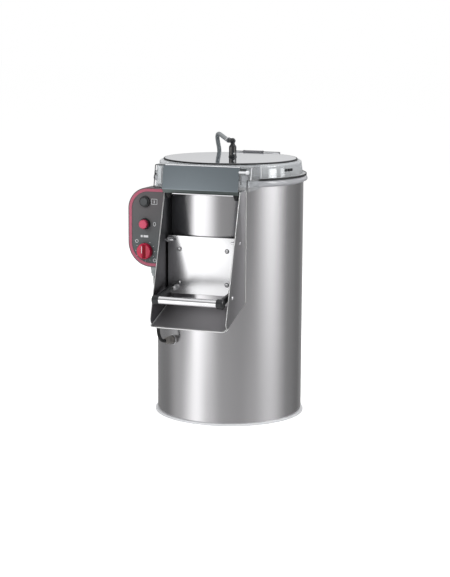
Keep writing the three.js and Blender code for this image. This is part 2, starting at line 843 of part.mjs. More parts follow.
// Bearings, motor and belt below the deck
function makeDrive() {
    const group = new THREE.Group();
    const lowerBearing = housingBottom + housingEnd;
    const upperBearing = housingTop - bearingWidth - housingEnd;
    const shoulder = bearingSeat - housingShoulder;
    const housing = turned([
        [bearingSeat, housingBottom],
        [housingRadius, housingBottom],
        [housingRadius, housingTop - housingFlangeHeight],
        [housingFlange, housingTop - housingFlangeHeight],
        [housingFlange, housingTop],
        [bearingSeat, housingTop],
        [bearingSeat, upperBearing - seatGap],
        [shoulder, upperBearing - seatGap],
        [shoulder, lowerBearing + bearingWidth + seatGap],
        [bearingSeat, lowerBearing + bearingWidth + seatGap],
    ], drumSteps, true);
    addPiece(group, 'bearing_housing', housing, castIron);

    const bearing = (bottom) =>
        ring(shaftRadius + seatGap, bearingRadius, bottom, bottom + bearingWidth, drumSteps);
    addPiece(group, 'lower_bearing', bearing(lowerBearing), polishedSteel);
    addPiece(group, 'upper_bearing', bearing(upperBearing), polishedSteel);

    const sealTop = panFloorTop + panHubHeight - sealDrop;
    const sealOuter = panHubRadius - seatGap;
    const seal = ring(shaftRadius + seatGap, sealOuter, sealTop - sealHeight, sealTop, drumSteps);
    addPiece(group, 'shaft_seal', seal, blackRubber);

    const motor = turned([
        [0, motorBottom],
        [motorBellRadius, motorBottom],
        [motorRadius, motorBottom + motorBellHeight],
        [motorRadius, motorTop - motorFlangeHeight],
        [motorFlange, motorTop - motorFlangeHeight],
        [motorFlange, motorTop],
        [0, motorTop],
    ], drumSteps).translate(motorX, motorY, 0);
    addPiece(group, 'motor_body', motor, motorPaint);

    const beltBottom = pulleyBottom + pulleyCheek + beltSideGap;
    const beltTop = pulleyTop - pulleyCheek - beltSideGap;
    const belt = cut(
        alongHeight(beltLine(beltSideGap + beltThickness), beltBottom, beltTop),
        alongHeight(beltLine(beltSideGap), beltBottom - overrun, beltTop + overrun),
    );
    addPiece(group, 'drive_belt', belt, blackRubber);
    return group;
}

function makeMotorRotor() {
    const group = new THREE.Group();
    group.position.set(motorX, motorY, 0);
    const shaft = disc(motorShaftRadius, shaftBottom, motorBottom - seatGap, pinSteps);
    addPiece(group, 'motor_shaft', shaft, polishedSteel);
    addPiece(group, 'motor_pulley', pulley(smallGroove, motorShaftRadius + seatGap), castIron);
    return group;
}

// Drain: an elbow under the pan, and the pipe from it out through the rear of the casing
function makeDrain() {
    const group = new THREE.Group();
    const elbowEnd = drainY + drainElbow;
    const bend = (radius, past) => join(
        disc(radius, drainZ, panBottom - seatGap + past, drumSteps).translate(0, drainY, 0),
        alongY(disc(radius, drainY, elbowEnd + past, drumSteps)).translate(0, 0, drainZ),
        new THREE.SphereGeometry(radius, drumSteps, drumSteps / 2).rotateX(Math.PI / 2)
            .translate(0, drainY, drainZ),
    );
    addPiece(group, 'drain_elbow', cut(bend(drainRadius, 0), bend(drainBore, overrun)), paleMoulding);

    const pipe = ring(drainBore, drainRadius, elbowEnd + seatGap, casingRadius + drainReach, drumSteps);
    addPiece(group, 'drain_pipe', alongY(pipe).translate(0, 0, drainZ), paleMoulding);
    return group;
}

// Rim ring on the casing's edge, with the gasket under the collar
function makeRim() {
    const group = new THREE.Group();
    const rim = turned([
        [rimInner, casingTop - rimSkirt],
        [casingInner - seatGap, casingTop - rimSkirt],
        [casingInner - seatGap, casingTop + seatGap],
        [casingRadius + rimLowerBead, casingTop + seatGap],
        [rimRadius, casingTop + rimBeadHeight],
        [rimRadius, casingTop + rimBeadTop],
        [rimTopRadius, rimTop],
        [rimInner, rimTop],
    ], ringSteps, true);
    addPiece(group, 'rim_ring', rim, paleMoulding);

    const gasket = ring(
        rimGasketOuter - rimGasketWidth, rimGasketOuter,
        rimGasketBottom, rimGasketBottom + rimGasketThickness, ringSteps,
    );
    addPiece(group, 'rim_gasket', gasket, blackRubber);
    return group;
}

// The hood's outer face leans back as it rises
const hoodFace = (z) => hoodLowY + ((hoodHighY - hoodLowY) * (z - hoodBottom)) / (hoodTop - hoodBottom);

// Clear collar: a round wall with a foot flange and a shelf for the lid, and a square bay at its front
function makeCollar() {
    const group = new THREE.Group();
    const flangeTop = collarBottom + collarFlange;
    const roundOutside = turned([
        [0, collarBottom],
        [collarFootRadius, collarBottom],
        [collarFootRadius, flangeTop],
        [collarFoot, flangeTop],
        [collarShoulder, collarTop - collarShoulderDrop],
        [collarShoulder, collarTop - collarEdgeDrop],
        [collarCrown, collarTop],
        [0, collarTop],
    ], ringSteps);
    const roundInside = turned([
        [0, collarBottom - overrun],
        [collarFoot - collarWall, collarBottom - overrun],
        [collarFoot - collarWall, flangeTop],
        [collarShoulder - collarWall, collarTop - collarShoulderDrop],
        [collarShoulder - collarWall, shelfTop - shelfThickness],
        [0, shelfTop - shelfThickness],
    ], ringSteps);

    const bayFront = (z) => hoodFace(z) + hoodSheet + seatGap;
    const bayRear = -feedMouth / 2;
    const bay = (halfWidth, inset, bottom, top) => alongWidth(outline([
        [bayFront(bottom) + inset, bottom],
        [bayRear, bottom],
        [bayRear, top],
        [bayFront(top) + inset, top],
    ]), -halfWidth, halfWidth);
    const bayOutside = bay(bayHalfWidth, 0, bayBottom, collarTop);
    const bayInner = bayHalfWidth - collarWall;
    const bayInside = bay(bayInner, collarWall, bayBottom + collarWall, shelfTop - bayRoofStep);

    const aboveRim = disc(rimRadius + runGap, bayBottom - overrun, collarBottom, ringSteps);
    const mouth = disc(feedMouth, shelfTop - shelfThickness - overrun, collarTop + overrun, ringSteps);
    const recess = disc(lidRecess, shelfTop, collarTop + overrun, ringSteps);
    const collar = cut(join(roundOutside, bayOutside), aboveRim, roundInside, bayInside, mouth, recess);
    addPiece(group, 'collar', collar, clearMoulding);
    return group;
}

// Chute: two cheeks and a sloping floor, the hood above it, and the rubber bumpers under the hood
function makeChute() {
    const group = new THREE.Group();
    const pinHole = alongX(
        disc(doorPinRadius + seatGap, chuteHalfWidth - overrun, chuteOuter + overrun, pinSteps),
    ).translate(0, hingeY, hingeZ);
    const cheek = cut(alongWidth(outline([
        [cheekRear, cheekTop],
        [-(casingRadius + cheekTopReach), cheekTop],
        [-(casingRadius + cheekKneeReach), cheekKnee],
        [lipY, lipZ, lipCorner],
        [cheekRear, floorRear],
    ]), chuteHalfWidth, chuteOuter), pinHole);
    addBothSides(group, 'chute_cheek', cheek, greySteel);

    const floorSlope = (floorRear - lipZ) / (cheekRear - lipY);
    const floorFront = lipY + lipCorner;
    const floorBack = cheekRear + overrun;
    const floorZ = (y) => lipZ + (y - lipY) * floorSlope;
    const floor = alongWidth(outline([
        [floorFront, floorZ(floorFront)],
        [floorBack, floorZ(floorBack)],
        [floorBack, floorZ(floorBack) + floorSheet],
        [floorFront, floorZ(floorFront) + floorSheet],
    ]), -chuteHalfWidth + seatGap, chuteHalfWidth - seatGap);
    addPiece(group, 'chute_floor', cut(floor, disc(casingClear, 0, casingTop, ringSteps)), greySteel);

    const returnY = hoodLowY + hoodReturn;
    const returnZ = hoodBottom - hoodReturnDrop;
    const hood = alongWidth(outline([
        [hoodHighY, hoodTop],
        [hoodLowY, hoodBottom],
        [returnY, returnZ],
        [returnY + hoodSheet, returnZ],
        [hoodLowY + hoodSheet, hoodBottom],
        [hoodHighY + hoodSheet, hoodTop],
    ]), -chuteOuter, chuteOuter);
    addPiece(group, 'hood_plate', hood, hoodSteel);

    const bumperTop = cheekTop - bumperDrop;
    const bumper = turned([
        [0, bumperTop - bumperHeight],
        [bumperTipRadius, bumperTop - bumperHeight],
        [bumperRadius, bumperTop],
        [0, bumperTop],
    ], pinSteps).translate(chuteHalfWidth - seatGap - bumperRadius, -(casingRadius + bumperReach), 0);
    addBothSides(group, 'rubber_bumper', bumper, blackRubber);

    const pin = alongX(turned([
        [0, chuteHalfWidth - doorPinReach],
        [doorPinInnerHead, chuteHalfWidth - doorPinReach],
        [doorPinInnerHead, chuteHalfWidth - doorPinReach + doorPinInnerLength],
        [doorPinRadius, chuteHalfWidth - doorPinReach + doorPinInnerLength],
        [doorPinRadius, chuteOuter + seatGap],
        [doorPinHead, chuteOuter + seatGap],
        [doorPinHead, chuteOuter + doorPinHeadLength],
        [0, chuteOuter + doorPinHeadLength],
    ], pinSteps)).translate(0, hingeY, hingeZ);
    addBothSides(group, 'door_pivot_pin', pin, polishedSteel);
    return group;
}

// Door with its ears, lugs and pivot studs, the gasket, and the backing with its four screws
function makeDoor() {
    const group = new THREE.Group();
    const holeRear = frameFront + backingSheet + overrun;
    const screwHoles = screwZs.flatMap((z) => [-screwX, screwX].map((x) =>
        alongY(disc(screwRadius + seatGap, doorFront - overrun, holeRear, pinSteps)).translate(x, 0, z)));
    const plate = block([-doorHalfWidth, doorFront, doorBottom], [doorHalfWidth, doorBack, doorTop]);
    const ear = cut(
        alongWidth(outline([
            [doorBack, hingeZ - earRadius],
            [doorBack, hingeZ + earRadius],
            [hingeY - earRadius, hingeZ + earRadius, earRadius * earCornerShares],
            [hingeY - earRadius, hingeZ - earRadius, earRadius * earCornerShares],
        ]), doorHalfWidth - earSheet, doorHalfWidth),
        alongX(disc(doorPinRadius + runGap, doorHalfWidth - overrun, doorHalfWidth + overrun, pinSteps))
            .translate(0, hingeY, hingeZ),
    );
    const stud = alongX(turned([
        [0, lugInner - pivotHeadLength],
        [pivotHead, lugInner - pivotHeadLength],
        [pivotHead, lugInner + lugSheet / 2],
        [pivotRadius, lugInner + lugSheet / 2],
        [pivotRadius, armOuter - pivotEnd],
        [0, armOuter - pivotEnd],
    ], pinSteps)).translate(0, bailY, bailZ);
    const lug = join(
        alongWidth(outline([
            [doorBack, bailZ - lugRadius],
            [doorBack, bailZ + lugRadius],
            [bailY - lugRadius, bailZ + lugRadius, lugRadius * earCornerShares],
            [bailY - lugRadius, bailZ - lugRadius, lugRadius * earCornerShares],
        ]), lugInner, lugOuter),
        stud,
    );
    const door = cut(
        join(plate, ear, otherSide(ear), lug, otherSide(lug)),
        ...screwHoles,
    );
    addPiece(group, 'door_plate', door, polishedSteel);

    const gasket = block(
        [-windowHalfWidth - gasketBorder, doorBack + seatGap, windowBottom - gasketFoot],
        [windowHalfWidth + gasketBorder, gasketBack, windowTop + gasketHead],
    );
    addPiece(group, 'door_gasket', cut(gasket, ...screwHoles), blackRubber);

    const backing = block(
        [-backingHalfWidth, frameFront, backingBottom],
        [backingHalfWidth, frameFront + backingSheet, backingTop],
    );
    const headBack = doorFront - seatGap;
    const screws = screwZs.flatMap((z) => [-screwX, screwX].map((x) => alongY(turned([
        [0, headBack - screwHeadHeight],
        [screwHead, headBack - screwHeadHeight],
        [screwHead, headBack],
        [screwRadius, headBack],
        [screwRadius, frameFront + backingSheet / 2],
        [0, frameFront + backingSheet / 2],
    ], pinSteps)).translate(x, 0, z)));
    addPiece(group, 'door_backing', join(backing, ...screws), polishedSteel);
    return group;
}

// Bail handle: two arms with end caps, and the grip tube held in the caps
function makeBail() {
    const group = new THREE.Group();
    const along = new THREE.Vector2(gripY - bailY, gripZ - bailZ).normalize();
    const across = new THREE.Vector2(-along.y, along.x).multiplyScalar(armHalfWidth);
    const bar = alongWidth(outline([
        [bailY + across.x, bailZ + across.y],
        [gripY + across.x, gripZ + across.y],
        [gripY - across.x, gripZ - across.y],
        [bailY - across.x, bailZ - across.y],
    ]), armInner, armOuter);
    const eye = alongX(disc(armHalfWidth, armInner, armOuter, pinSteps)).translate(0, bailY, bailZ);
    const cap = alongX(disc(capRadius, capInner, capOuter, drumSteps)).translate(0, gripY, gripZ);
    const pivotHole = alongX(disc(pivotRadius + runGap, armInner - overrun, armOuter + overrun, pinSteps))
        .translate(0, bailY, bailZ);
    const gripHole = alongX(disc(gripRadius + seatGap, capInner - overrun, capOuter - capFloor, drumSteps))
        .translate(0, gripY, gripZ);
    const arm = cut(join(bar, eye, cap), pivotHole, gripHole);
    addBothSides(group, 'bail_arm', arm, blackMoulding);

    const grip = alongX(ring(gripRadius - gripWall, gripRadius, -gripHalfLength, gripHalfLength, drumSteps))
        .translate(0, gripY, gripZ);
    addPiece(group, 'bail_grip', grip, polishedSteel);
    return group;
}

// Outline of the control panel, drawn in (X, Z) and grown or shrunk by an inset
function panelOutline(inset) {
    return outline([
        [boxLeft + inset, panelBottom + inset, panelLowerCorner - inset],
        [boxRight - inset, panelBottom + inset, panelInnerCorner],
        [boxRight - inset, panelTop - inset, panelInnerCorner],
        [boxLeft + inset, panelTop - inset, panelUpperCorner - inset],
    ]);
}

// A switch: the bezel in front of the panel, the neck through it and the contact block behind it
function makeSwitch(capRadius, z) {
    const bezelBack = panelFront - seatGap;
    const well = capRadius + buttonRunning;
    const bore = stemRadius + runGap;
    const front = alongY(turned([
        [bore, bezelBack - bezelFloor],
        [well, bezelBack - bezelFloor],
        [well, bezelBack - bezelDepth],
        [bezelRadius, bezelBack - bezelDepth],
        [bezelRadius, bezelBack],
        [neckRadius, bezelBack],
        [neckRadius, contactFront + seatGap],
        [bore, contactFront + seatGap],
    ], drumSteps, true)).translate(controlX, 0, z);
    const contact = cut(
        block(
            [controlX - contactSize / 2, contactFront, z - contactSize / 2],
            [controlX + contactSize / 2, contactFront + contactDepth, z + contactSize / 2],
        ),
        alongY(disc(bore, contactFront - overrun, contactFront + contactBore, drumSteps))
            .translate(controlX, 0, z),
    );
    return join(front, contact);
}

// Control box: shell, panel, trim, switches and the timer's body
function makeControls() {
    const group = new THREE.Group();
    const panelHole = (radius, z) =>
        alongY(disc(radius + runGap, panelFront - overrun, panelBack + overrun, drumSteps))
            .translate(controlX, 0, z);

    const shell = cut(
        alongDepth(panelOutline(0), boxFront, boxBack),
        alongDepth(panelOutline(boxWall), boxFront - overrun, boxBack - boxWall),
        disc(casingClear, 0, casingTop + overrun, ringSteps),
    );
    addPiece(group, 'control_box', shell, greyPaint);

    const panel = cut(
        alongDepth(panelOutline(0), panelFront, panelBack),
        panelHole(neckRadius, startZ),
        panelHole(neckRadius, stopZ),
        panelHole(stemRadius, timerZ),
    );
    addPiece(group, 'control_panel', panel, greyPaint);

    const trimBack = panelFront - seatGap;
    const trim = cut(
        alongDepth(panelOutline(trimInset), trimBack - trimThickness, trimBack),
        alongDepth(
            panelOutline(trimInset + trimWidth),
            trimBack - trimThickness - overrun,
            trimBack + overrun,
        ),
    );
    addPiece(group, 'panel_trim', trim, crimsonTrim);

    addPiece(group, 'start_switch', makeSwitch(startRadius, startZ), blackMoulding);
    addPiece(group, 'stop_switch', makeSwitch(stopRadius, stopZ), blackMoulding);

    const timer = cut(
        block(
            [controlX - timerSize / 2, contactFront, timerZ - timerSize / 2],
            [controlX + timerSize / 2, contactFront + timerDepth, timerZ + timerSize / 2],
        ),
        alongY(disc(stemRadius + runGap, contactFront - overrun, contactFront + contactBore, pinSteps))
            .translate(controlX, 0, timerZ),
    );
    addPiece(group, 'timer_body', timer, blackMoulding);
    return group;
}

// A push button or a knob is drawn round its own axis at the panel's face, then set in place
function makeButton(name, capRadius, proud, z, material) {
    const group = new THREE.Group();
    group.position.set(controlX, panelFront, z);
    const cap = alongY(turned([
        [0, -bezelDepth - proud],
        [capRadius * capFaceShares, -bezelDepth - proud],
        [capRadius, -bezelDepth - proud * (1 - capRoundShares)],
        [capRadius, -buttonLift],
        [stemRadius, -buttonLift],
        [stemRadius, panelSheet + stemReach],
        [0, panelSheet + stemReach],
    ], drumSteps));
    addPiece(group, name, cap, material);
    return group;
}

function makeTimerKnob() {
    const group = new THREE.Group();
    group.position.set(controlX, panelFront, timerZ);
    const front = -knobGap - knobDepth;
    const body = alongY(turned([
        [0, front],
        [knobRadius * knobFaceShares, front],
        [knobRadius, front + knobDepth * knobEdgeShares],
        [knobRadius, -knobGap],
        [stemRadius, -knobGap],
        [stemRadius, panelSheet + stemReach],
        [0, panelSheet + stemReach],
    ], drumSteps));
    const gripReach = knobRadius * knobGripShares;
    const grip = block(
        [-knobGripHalfWidth, front - knobGripDepth, -gripReach],
        [knobGripHalfWidth, front + knobDepth / 2, gripReach],
    );
    addPiece(group, 'timer_knob', join(body, grip), redMoulding);
    return group;
}

// A cable gland along +Y from y = 0, with ribs round its sleeve
function gland() {
    const ribPitch = glandSleeveLength / glandRibCount;
    const profile = [[0, 0], [glandNutRadius, 0], [glandNutRadius, glandNutLength]];
    for (let i = 0; i < glandRibCount; i += 1) {
        const start = glandNutLength + i * ribPitch;
        profile.push([glandSleeveRadius, start]);
        profile.push([glandSleeveRadius + glandRibHeight, start + ribPitch / 2]);
    }
    const sleeveEnd = glandNutLength + glandSleeveLength;
    profile.push([glandSleeveRadius, sleeveEnd], [glandTipRadius, glandLength], [0, glandLength]);
    return alongY(turned(profile, pinSteps));
}

// Glands under the control box, on the casing's front and on its rear, and the control cable
function makeCables() {
    const group = new THREE.Group();
    const boxGland = gland().rotateX(-Math.PI / 2).translate(boxGlandX, boxGlandY, panelBottom - seatGap);
    const seat = casingRadius + seatGap;
    const onCasing = (turn, z) => gland().translate(0, seat, 0).rotateZ(turn).translate(0, 0, z);
    addPiece(group, 'box_gland', boxGland, paleMoulding);
    addPiece(group, 'casing_gland', onCasing(casingGlandTurn, casingGlandZ), greyMoulding);
    addPiece(group, 'mains_gland', onCasing(mainsGlandTurn, casingBase + mainsGlandRise), greyMoulding);

    const casingTip = seat + glandLength + cableEnd;
    const outward = new THREE.Vector2(-Math.sin(casingGlandTurn), Math.cos(casingGlandTurn));
    const route = [
        [boxGlandX, boxGlandY, panelBottom - seatGap - glandLength - cableEnd],
        ...cableRoute,
        [outward.x * casingTip, outward.y * casingTip, casingGlandZ],
    ];
    addPiece(group, 'control_cable', tube(route, cableRadius, cableSides, cableSteps), blackRubber);
    return group;
}

// The hinge's rod and the two posts that carry it on the collar's foot
function makeHingeMount() {
    const group = new THREE.Group();
    const postX = hingeRodHalfLength - postWidth / 2;
    const post = block(
        [postX - postWidth / 2, lidHingeY - postWidth / 2, collarBottom + collarFlange + seatGap],
        [postX + postWidth / 2, lidHingeY + postWidth / 2, lidHingeZ + postHead],
    );
    const rod = alongX(disc(hingeRodRadius, -postX, postX, pinSteps)).translate(0, lidHingeY, lidHingeZ);
    addPiece(group, 'hinge_rod', join(rod, post, otherSide(post)), polishedSteel);
    return group;
}

// Lid disc, its gasket and hinge leaf, and the air-break fitting with its nozzle and hose clamp
function makeLid() {
    const group = new THREE.Group();
    const waterHole = disc(lidHole, lidBottom - overrun, lidTop + overrun, pinSteps)
        .translate(0, fittingSetback, 0);
    const lid = cut(disc(lidRadius, lidBottom, lidTop, ringSteps), waterHole);
    addPiece(group, 'lid_disc', lid, polishedSteel);

    const gasketOuter = lidRadius - lidGasketInset;
    const gasket = ring(
        gasketOuter - lidGasketWidth, gasketOuter,
        lidGasketBottom, lidGasketBottom + lidGasketThickness, ringSteps,
    );
    addPiece(group, 'lid_gasket', gasket, blackRubber);

    const knuckleBore = hingeRodRadius + runGap;
    const leaf = cut(
        join(
            alongX(disc(knuckleRadius, -knuckleHalfLength, knuckleHalfLength, pinSteps))
                .translate(0, lidHingeY, lidHingeZ),
            block(
                [-knuckleHalfLength, lidRadius - leafLap, lidTop + seatGap],
                [knuckleHalfLength, lidHingeY, lidTop + seatGap + leafSheet],
            ),
        ),
        alongX(disc(knuckleBore, -knuckleHalfLength - overrun, knuckleHalfLength + overrun, pinSteps))
            .translate(0, lidHingeY, lidHingeZ),
    );
    addPiece(group, 'hinge_leaf', leaf, polishedSteel);

    const flangeTop = fittingBottom + fittingFlangeHeight;
    const body = turned([
        [0, fittingBottom],
        [fittingFlange, fittingBottom],
        [fittingFlange, flangeTop],
        [fittingRadius, flangeTop],
        [fittingRadius, fittingTop - fittingShoulder],
        [fittingNeck, fittingTop],
        [fittingNeck, spigotZ],
        [0, spigotZ],
    ], drumSteps).translate(0, fittingSetback, 0);
    const knuckle = new THREE.SphereGeometry(fittingKnuckle, pinSteps, pinSteps / 2).rotateX(Math.PI / 2)
        .translate(0, fittingSetback, spigotZ);
    const spigot = alongY(disc(spigotRadius, 0, spigotLength, pinSteps)).rotateZ(spigotTurn)
        .translate(0, fittingSetback, spigotZ);
    addPiece(group, 'air_break', join(body, knuckle, spigot), blackMoulding);

    const clampMiddle = spigotLength + clampOffset;
    const clamp = alongY(ring(
        hoseRadius + runGap, clampRadius,
        clampMiddle - clampWidth / 2, clampMiddle + clampWidth / 2, pinSteps,
    )).rotateZ(spigotTurn).translate(0, fittingSetback, spigotZ);
    addPiece(group, 'hose_clamp', clamp, polishedSteel);

    const nozzleTop = lidBottom - seatGap;
    const nozzle = turned([
        [nozzleBore, nozzleTop - nozzleHeight],
        [nozzleTip, nozzleTop - nozzleHeight],
        [nozzleRadius, nozzleTop],
        [nozzleBore, nozzleTop],
    ], pinSteps, true).translate(0, fittingSetback, 0);
    addPiece(group, 'spray_nozzle', nozzle, blackMoulding);
    return group;
}

// Inlet valve with its threaded inlet and coil, drawn on +Y and turned to its place, and the hose
function makeWater() {
    const group = new THREE.Group();
    const valveInner = casingRadius + seatGap;
    const valveBottom = valveTop - valveHeight;
    const valveMiddle = valveTop - valveHeight / 2;
    const valve = join(
        block(
            [-valveHalfWidth, valveInner, valveBottom],
            [valveHalfWidth, valveInner + valveDepth, valveTop],
        ),
        disc(valveStubRadius, valveMiddle, valveTop + valveStub, pinSteps).translate(0, hoseAxis, 0),
        disc(inletRadius, valveBottom - inletLength, valveMiddle, pinSteps).translate(0, hoseAxis, 0),
    ).rotateZ(valveTurn);
    addPiece(group, 'inlet_valve', valve, brass);

    const coilStart = valveInner + valveDepth + seatGap;
    const coil = alongY(disc(coilRadius, coilStart, coilStart + coilLength, drumSteps))
        .translate(0, 0, valveMiddle).rotateZ(valveTurn);
    addPiece(group, 'valve_coil', coil, blackMoulding);

    addPiece(group, 'water_hose', tube(hoseRoute, hoseRadius, hoseSides, hoseSteps), greyHose);
    return group;
}

const potatoPeeler = new THREE.Group();
potatoPeeler.add(
    makeCasing(),
    makeChamber(),
    makeRotor(),
    makeDrive(),
    makeMotorRotor(),
    makeDrain(),
    makeRim(),
    makeCollar(),
    makeChute(),
    makeDoor(),
    makeBail(),
    makeControls(),
    makeButton('start_button', startRadius, startProud, startZ, blackMoulding),
    makeButton('stop_button', stopRadius, stopProud, stopZ, redMoulding),
    makeTimerKnob(),
    makeCables(),
    makeHingeMount(),
    makeLid(),
    makeWater(),
);

export default potatoPeeler;
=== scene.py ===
import math

import bmesh
import bpy
import numpy as np
from mathutils import Matrix


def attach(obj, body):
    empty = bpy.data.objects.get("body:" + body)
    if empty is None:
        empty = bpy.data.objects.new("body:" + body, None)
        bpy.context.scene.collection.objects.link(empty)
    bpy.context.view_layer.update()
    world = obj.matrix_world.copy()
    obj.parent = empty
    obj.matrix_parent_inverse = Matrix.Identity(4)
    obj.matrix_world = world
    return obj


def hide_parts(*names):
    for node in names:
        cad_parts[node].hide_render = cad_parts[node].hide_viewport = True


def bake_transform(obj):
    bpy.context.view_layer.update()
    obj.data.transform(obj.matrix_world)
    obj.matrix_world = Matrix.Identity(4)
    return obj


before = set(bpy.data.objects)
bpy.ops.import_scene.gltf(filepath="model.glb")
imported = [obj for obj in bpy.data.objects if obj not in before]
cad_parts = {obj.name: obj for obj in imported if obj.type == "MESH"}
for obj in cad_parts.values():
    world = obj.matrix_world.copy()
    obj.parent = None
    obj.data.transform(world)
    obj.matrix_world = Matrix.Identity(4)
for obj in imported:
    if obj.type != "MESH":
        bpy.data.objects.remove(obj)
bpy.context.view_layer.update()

mm = 0.001
scene = bpy.context.scene

# The camera stands a little to the right of the front and looks slightly down. Lengths are in
# millimetres from the foot of the casing's axis, angles in degrees.
camera = {"azimuth": 20, "distance": 4281.7, "height": 1074.3, "down": 9.73, "yaw": 0.183,
          "roll": 0.284, "lens": 97.68}


# Links an object; columns, where given, are its three axes and its place
def linked(name, data, *columns):
    made = bpy.data.objects.new(name, data)
    scene.collection.objects.link(made)
    if columns:
        turn = np.eye(4)
        turn[:3] = np.stack(columns, 1)
        made.matrix_world = Matrix(turn.tolist())
    return made


def placeCamera():
    around, down, roll = (math.radians(camera[k]) for k in ("azimuth", "down", "roll"))
    heading = around + math.radians(camera["yaw"])
    ahead = np.array([-math.sin(heading), math.cos(heading), 0])
    level = np.array([math.cos(heading), math.sin(heading), 0])
    view = ahead * math.cos(down) - np.array([0, 0, math.sin(down)])
    upright = np.cross(level, view)
    right = level * math.cos(roll) + upright * math.sin(roll)
    up = upright * math.cos(roll) - level * math.sin(roll)
    place = np.array([math.sin(around), -math.cos(around), 0]) * camera["distance"]
    place[2] = camera["height"]
    data = bpy.data.cameras.new("photoCamera")
    data.lens = camera["lens"]
    scene.camera = linked("photoCamera", data, right, up, -view, place * mm)


placeCamera()
print("camera placed")


# Materials

# An sRGB hex colour as the linear one that a socket takes
def linear(hexText):
    share = np.array([int(hexText[i:i + 2], 16) for i in (1, 3, 5)]) / 255
    flat = np.where(share <= 0.04045, share / 12.92, ((share + 0.055) / 1.055) ** 2.4)
    return (*flat.tolist(), 1.0)


# Adds a node: settings are its properties or, by socket name or number, its values; links feed its sockets
# from other sockets, or from the first result of a node, which for a mixed colour is its third socket
def addNode(tree, kind, settings={}, links={}):
    made = tree.nodes.new("ShaderNode" + kind)
    for key, value in settings.items():
        if isinstance(key, str) and hasattr(made, key):
            setattr(made, key, value)
        else:
            made.inputs[key].default_value = value
    for key, source in links.items():
        if hasattr(source, "outputs"):
            source = source.outputs[2 if source.bl_idname == "ShaderNodeMix" else 0]
        tree.links.new(source, made.inputs[key])
    return made


# A material with an empty tree, and the object's own coordinates in it
def newMaterial(name):
    made = bpy.data.materials.new(name)
    made.use_nodes = True
    made.node_tree.nodes.clear()
    return made, made.node_tree, addNode(made.node_tree, "TexCoord").outputs["Object"]


# Mixes a tone towards a shade between two heights in millimetres
def shadedUpward(tree, place, tone, start, end, shade):
    split = addNode(tree, "SeparateXYZ", {}, {0: place})
    risen = addNode(tree, "MapRange", {1: start * mm, 2: end * mm}, {0: split.outputs["Z"]})
    return addNode(tree, "Mix", {"data_type": "RGBA", 7: linear(shade)}, {0: risen, 6: tone})


noiseSpan = {1: 0.3, 2: 0.7}  # where nearly all of a noise lies, as a map range's first sockets


# An opaque skin. A metal's texture is its brush lines, noise scales along X, Y and Z in turns per metre; any
# other skin's is its grain in millimetres. It gives the bump, and a wider noise changes the tone and the
# roughness. "upward" mixes the tone towards another colour from one height to another. "inside" paints
# shade on a sheet's inner side, one painted shade low and another high, for what lies nearer to the middle
# than its reach along X.
def opaque(name, dark, pale, rough, texture, bump, upward=None, inside=None):
    made, tree, place = newMaterial(name)
    if isinstance(texture, tuple):
        squeezed = addNode(tree, "Mapping", {"Scale": texture}, {"Vector": place})
        fine = addNode(tree, "TexNoise", {"Scale": 1.0, "Detail": 3.0, "Roughness": 0.6}, {"Vector": squeezed})
        cloud = addNode(tree, "TexNoise", {"Scale": 9.0, "Detail": 2.0}, {"Vector": place})
        softer = addNode(tree, "Math", {"operation": "MULTIPLY", 1: 0.35}, {0: cloud})
        share = addNode(tree, "Math", {"operation": "MULTIPLY_ADD", 1: 0.65}, {0: fine, 2: softer})
        metallic, depth = 1.0, 0.0004
    else:
        fine = addNode(tree, "TexNoise", {"Scale": 1 / (texture * mm), "Detail": 2.0}, {"Vector": place})
        share = addNode(tree, "TexNoise", {"Scale": 14.0, "Detail": 3.0}, {"Vector": place})
        metallic, depth = 0.0, texture * mm * 0.3
    rough = addNode(tree, "MapRange", {**noiseSpan, 3: rough[0], 4: rough[1]}, {0: share})
    tone = addNode(tree, "Mix", {"data_type": "RGBA", 6: linear(dark), 7: linear(pale)}, {0: share})
    if upward:
        tone = shadedUpward(tree, place, tone, *upward)
    # painted shade on a sheet's inner side: a painted shade low down that mixes to another high up
    if inside:
        reach, shade, *above = inside
        side = addNode(tree, "RGB")
        side.outputs[0].default_value = linear(shade)
        split = addNode(tree, "SeparateXYZ", {}, {0: place})
        off = addNode(tree, "Math", {"operation": "ABSOLUTE"}, {0: split.outputs["X"]})
        paintedShadeMask = addNode(tree, "MapRange", {1: reach * mm, 2: (reach + 0.6) * mm, 3: 1.0, 4: 0.0}, {0: off})
        inner = shadedUpward(tree, place, side, *above)
        tone = addNode(tree, "Mix", {"data_type": "RGBA"}, {0: paintedShadeMask, 6: tone, 7: inner})
    bump = addNode(tree, "Bump", {"Strength": bump, "Distance": depth}, {"Height": fine})
    skin = addNode(tree, "BsdfPrincipled", {"IOR": 1.5, "Metallic": metallic},
                   {"Base Color": tone, "Roughness": rough, "Normal": bump})
    addNode(tree, "OutputMaterial", {}, {"Surface": skin})
    return made


# Clear plastic: nearly all light goes through face on, and more is tinted and mirrored as it turns away
def clearMoulding(name, tint, side, body, mirror, edge, rough, share):
    made, tree, place = newMaterial(name)
    cloud = addNode(tree, "TexNoise", {"Scale": 22.0, "Detail": 2.0}, {"Vector": place})
    rough = addNode(tree, "MapRange", {**noiseSpan, 3: rough[0], 4: rough[1]}, {0: cloud})
    facing = addNode(tree, "LayerWeight", {"Blend": 0.5})
    away = addNode(tree, "Math", {"operation": "POWER", 1: edge}, {0: facing.outputs["Facing"]})
    tone = addNode(tree, "Mix", {"data_type": "RGBA", 6: linear(tint), 7: linear(side)}, {0: away})
    through = addNode(tree, "BsdfTransparent", {}, {"Color": tone})
    gloss = addNode(tree, "BsdfPrincipled", {"Base Color": linear(body), "Metallic": mirror},
                    {"Roughness": rough})
    part = addNode(tree, "MapRange", {1: 0.0, 2: 1.0, 3: share[0], 4: share[1]}, {0: away})
    mixed = addNode(tree, "MixShader", {}, {0: part, 1: through, 2: gloss})
    addNode(tree, "OutputMaterial", {}, {"Surface": mixed})
    return made


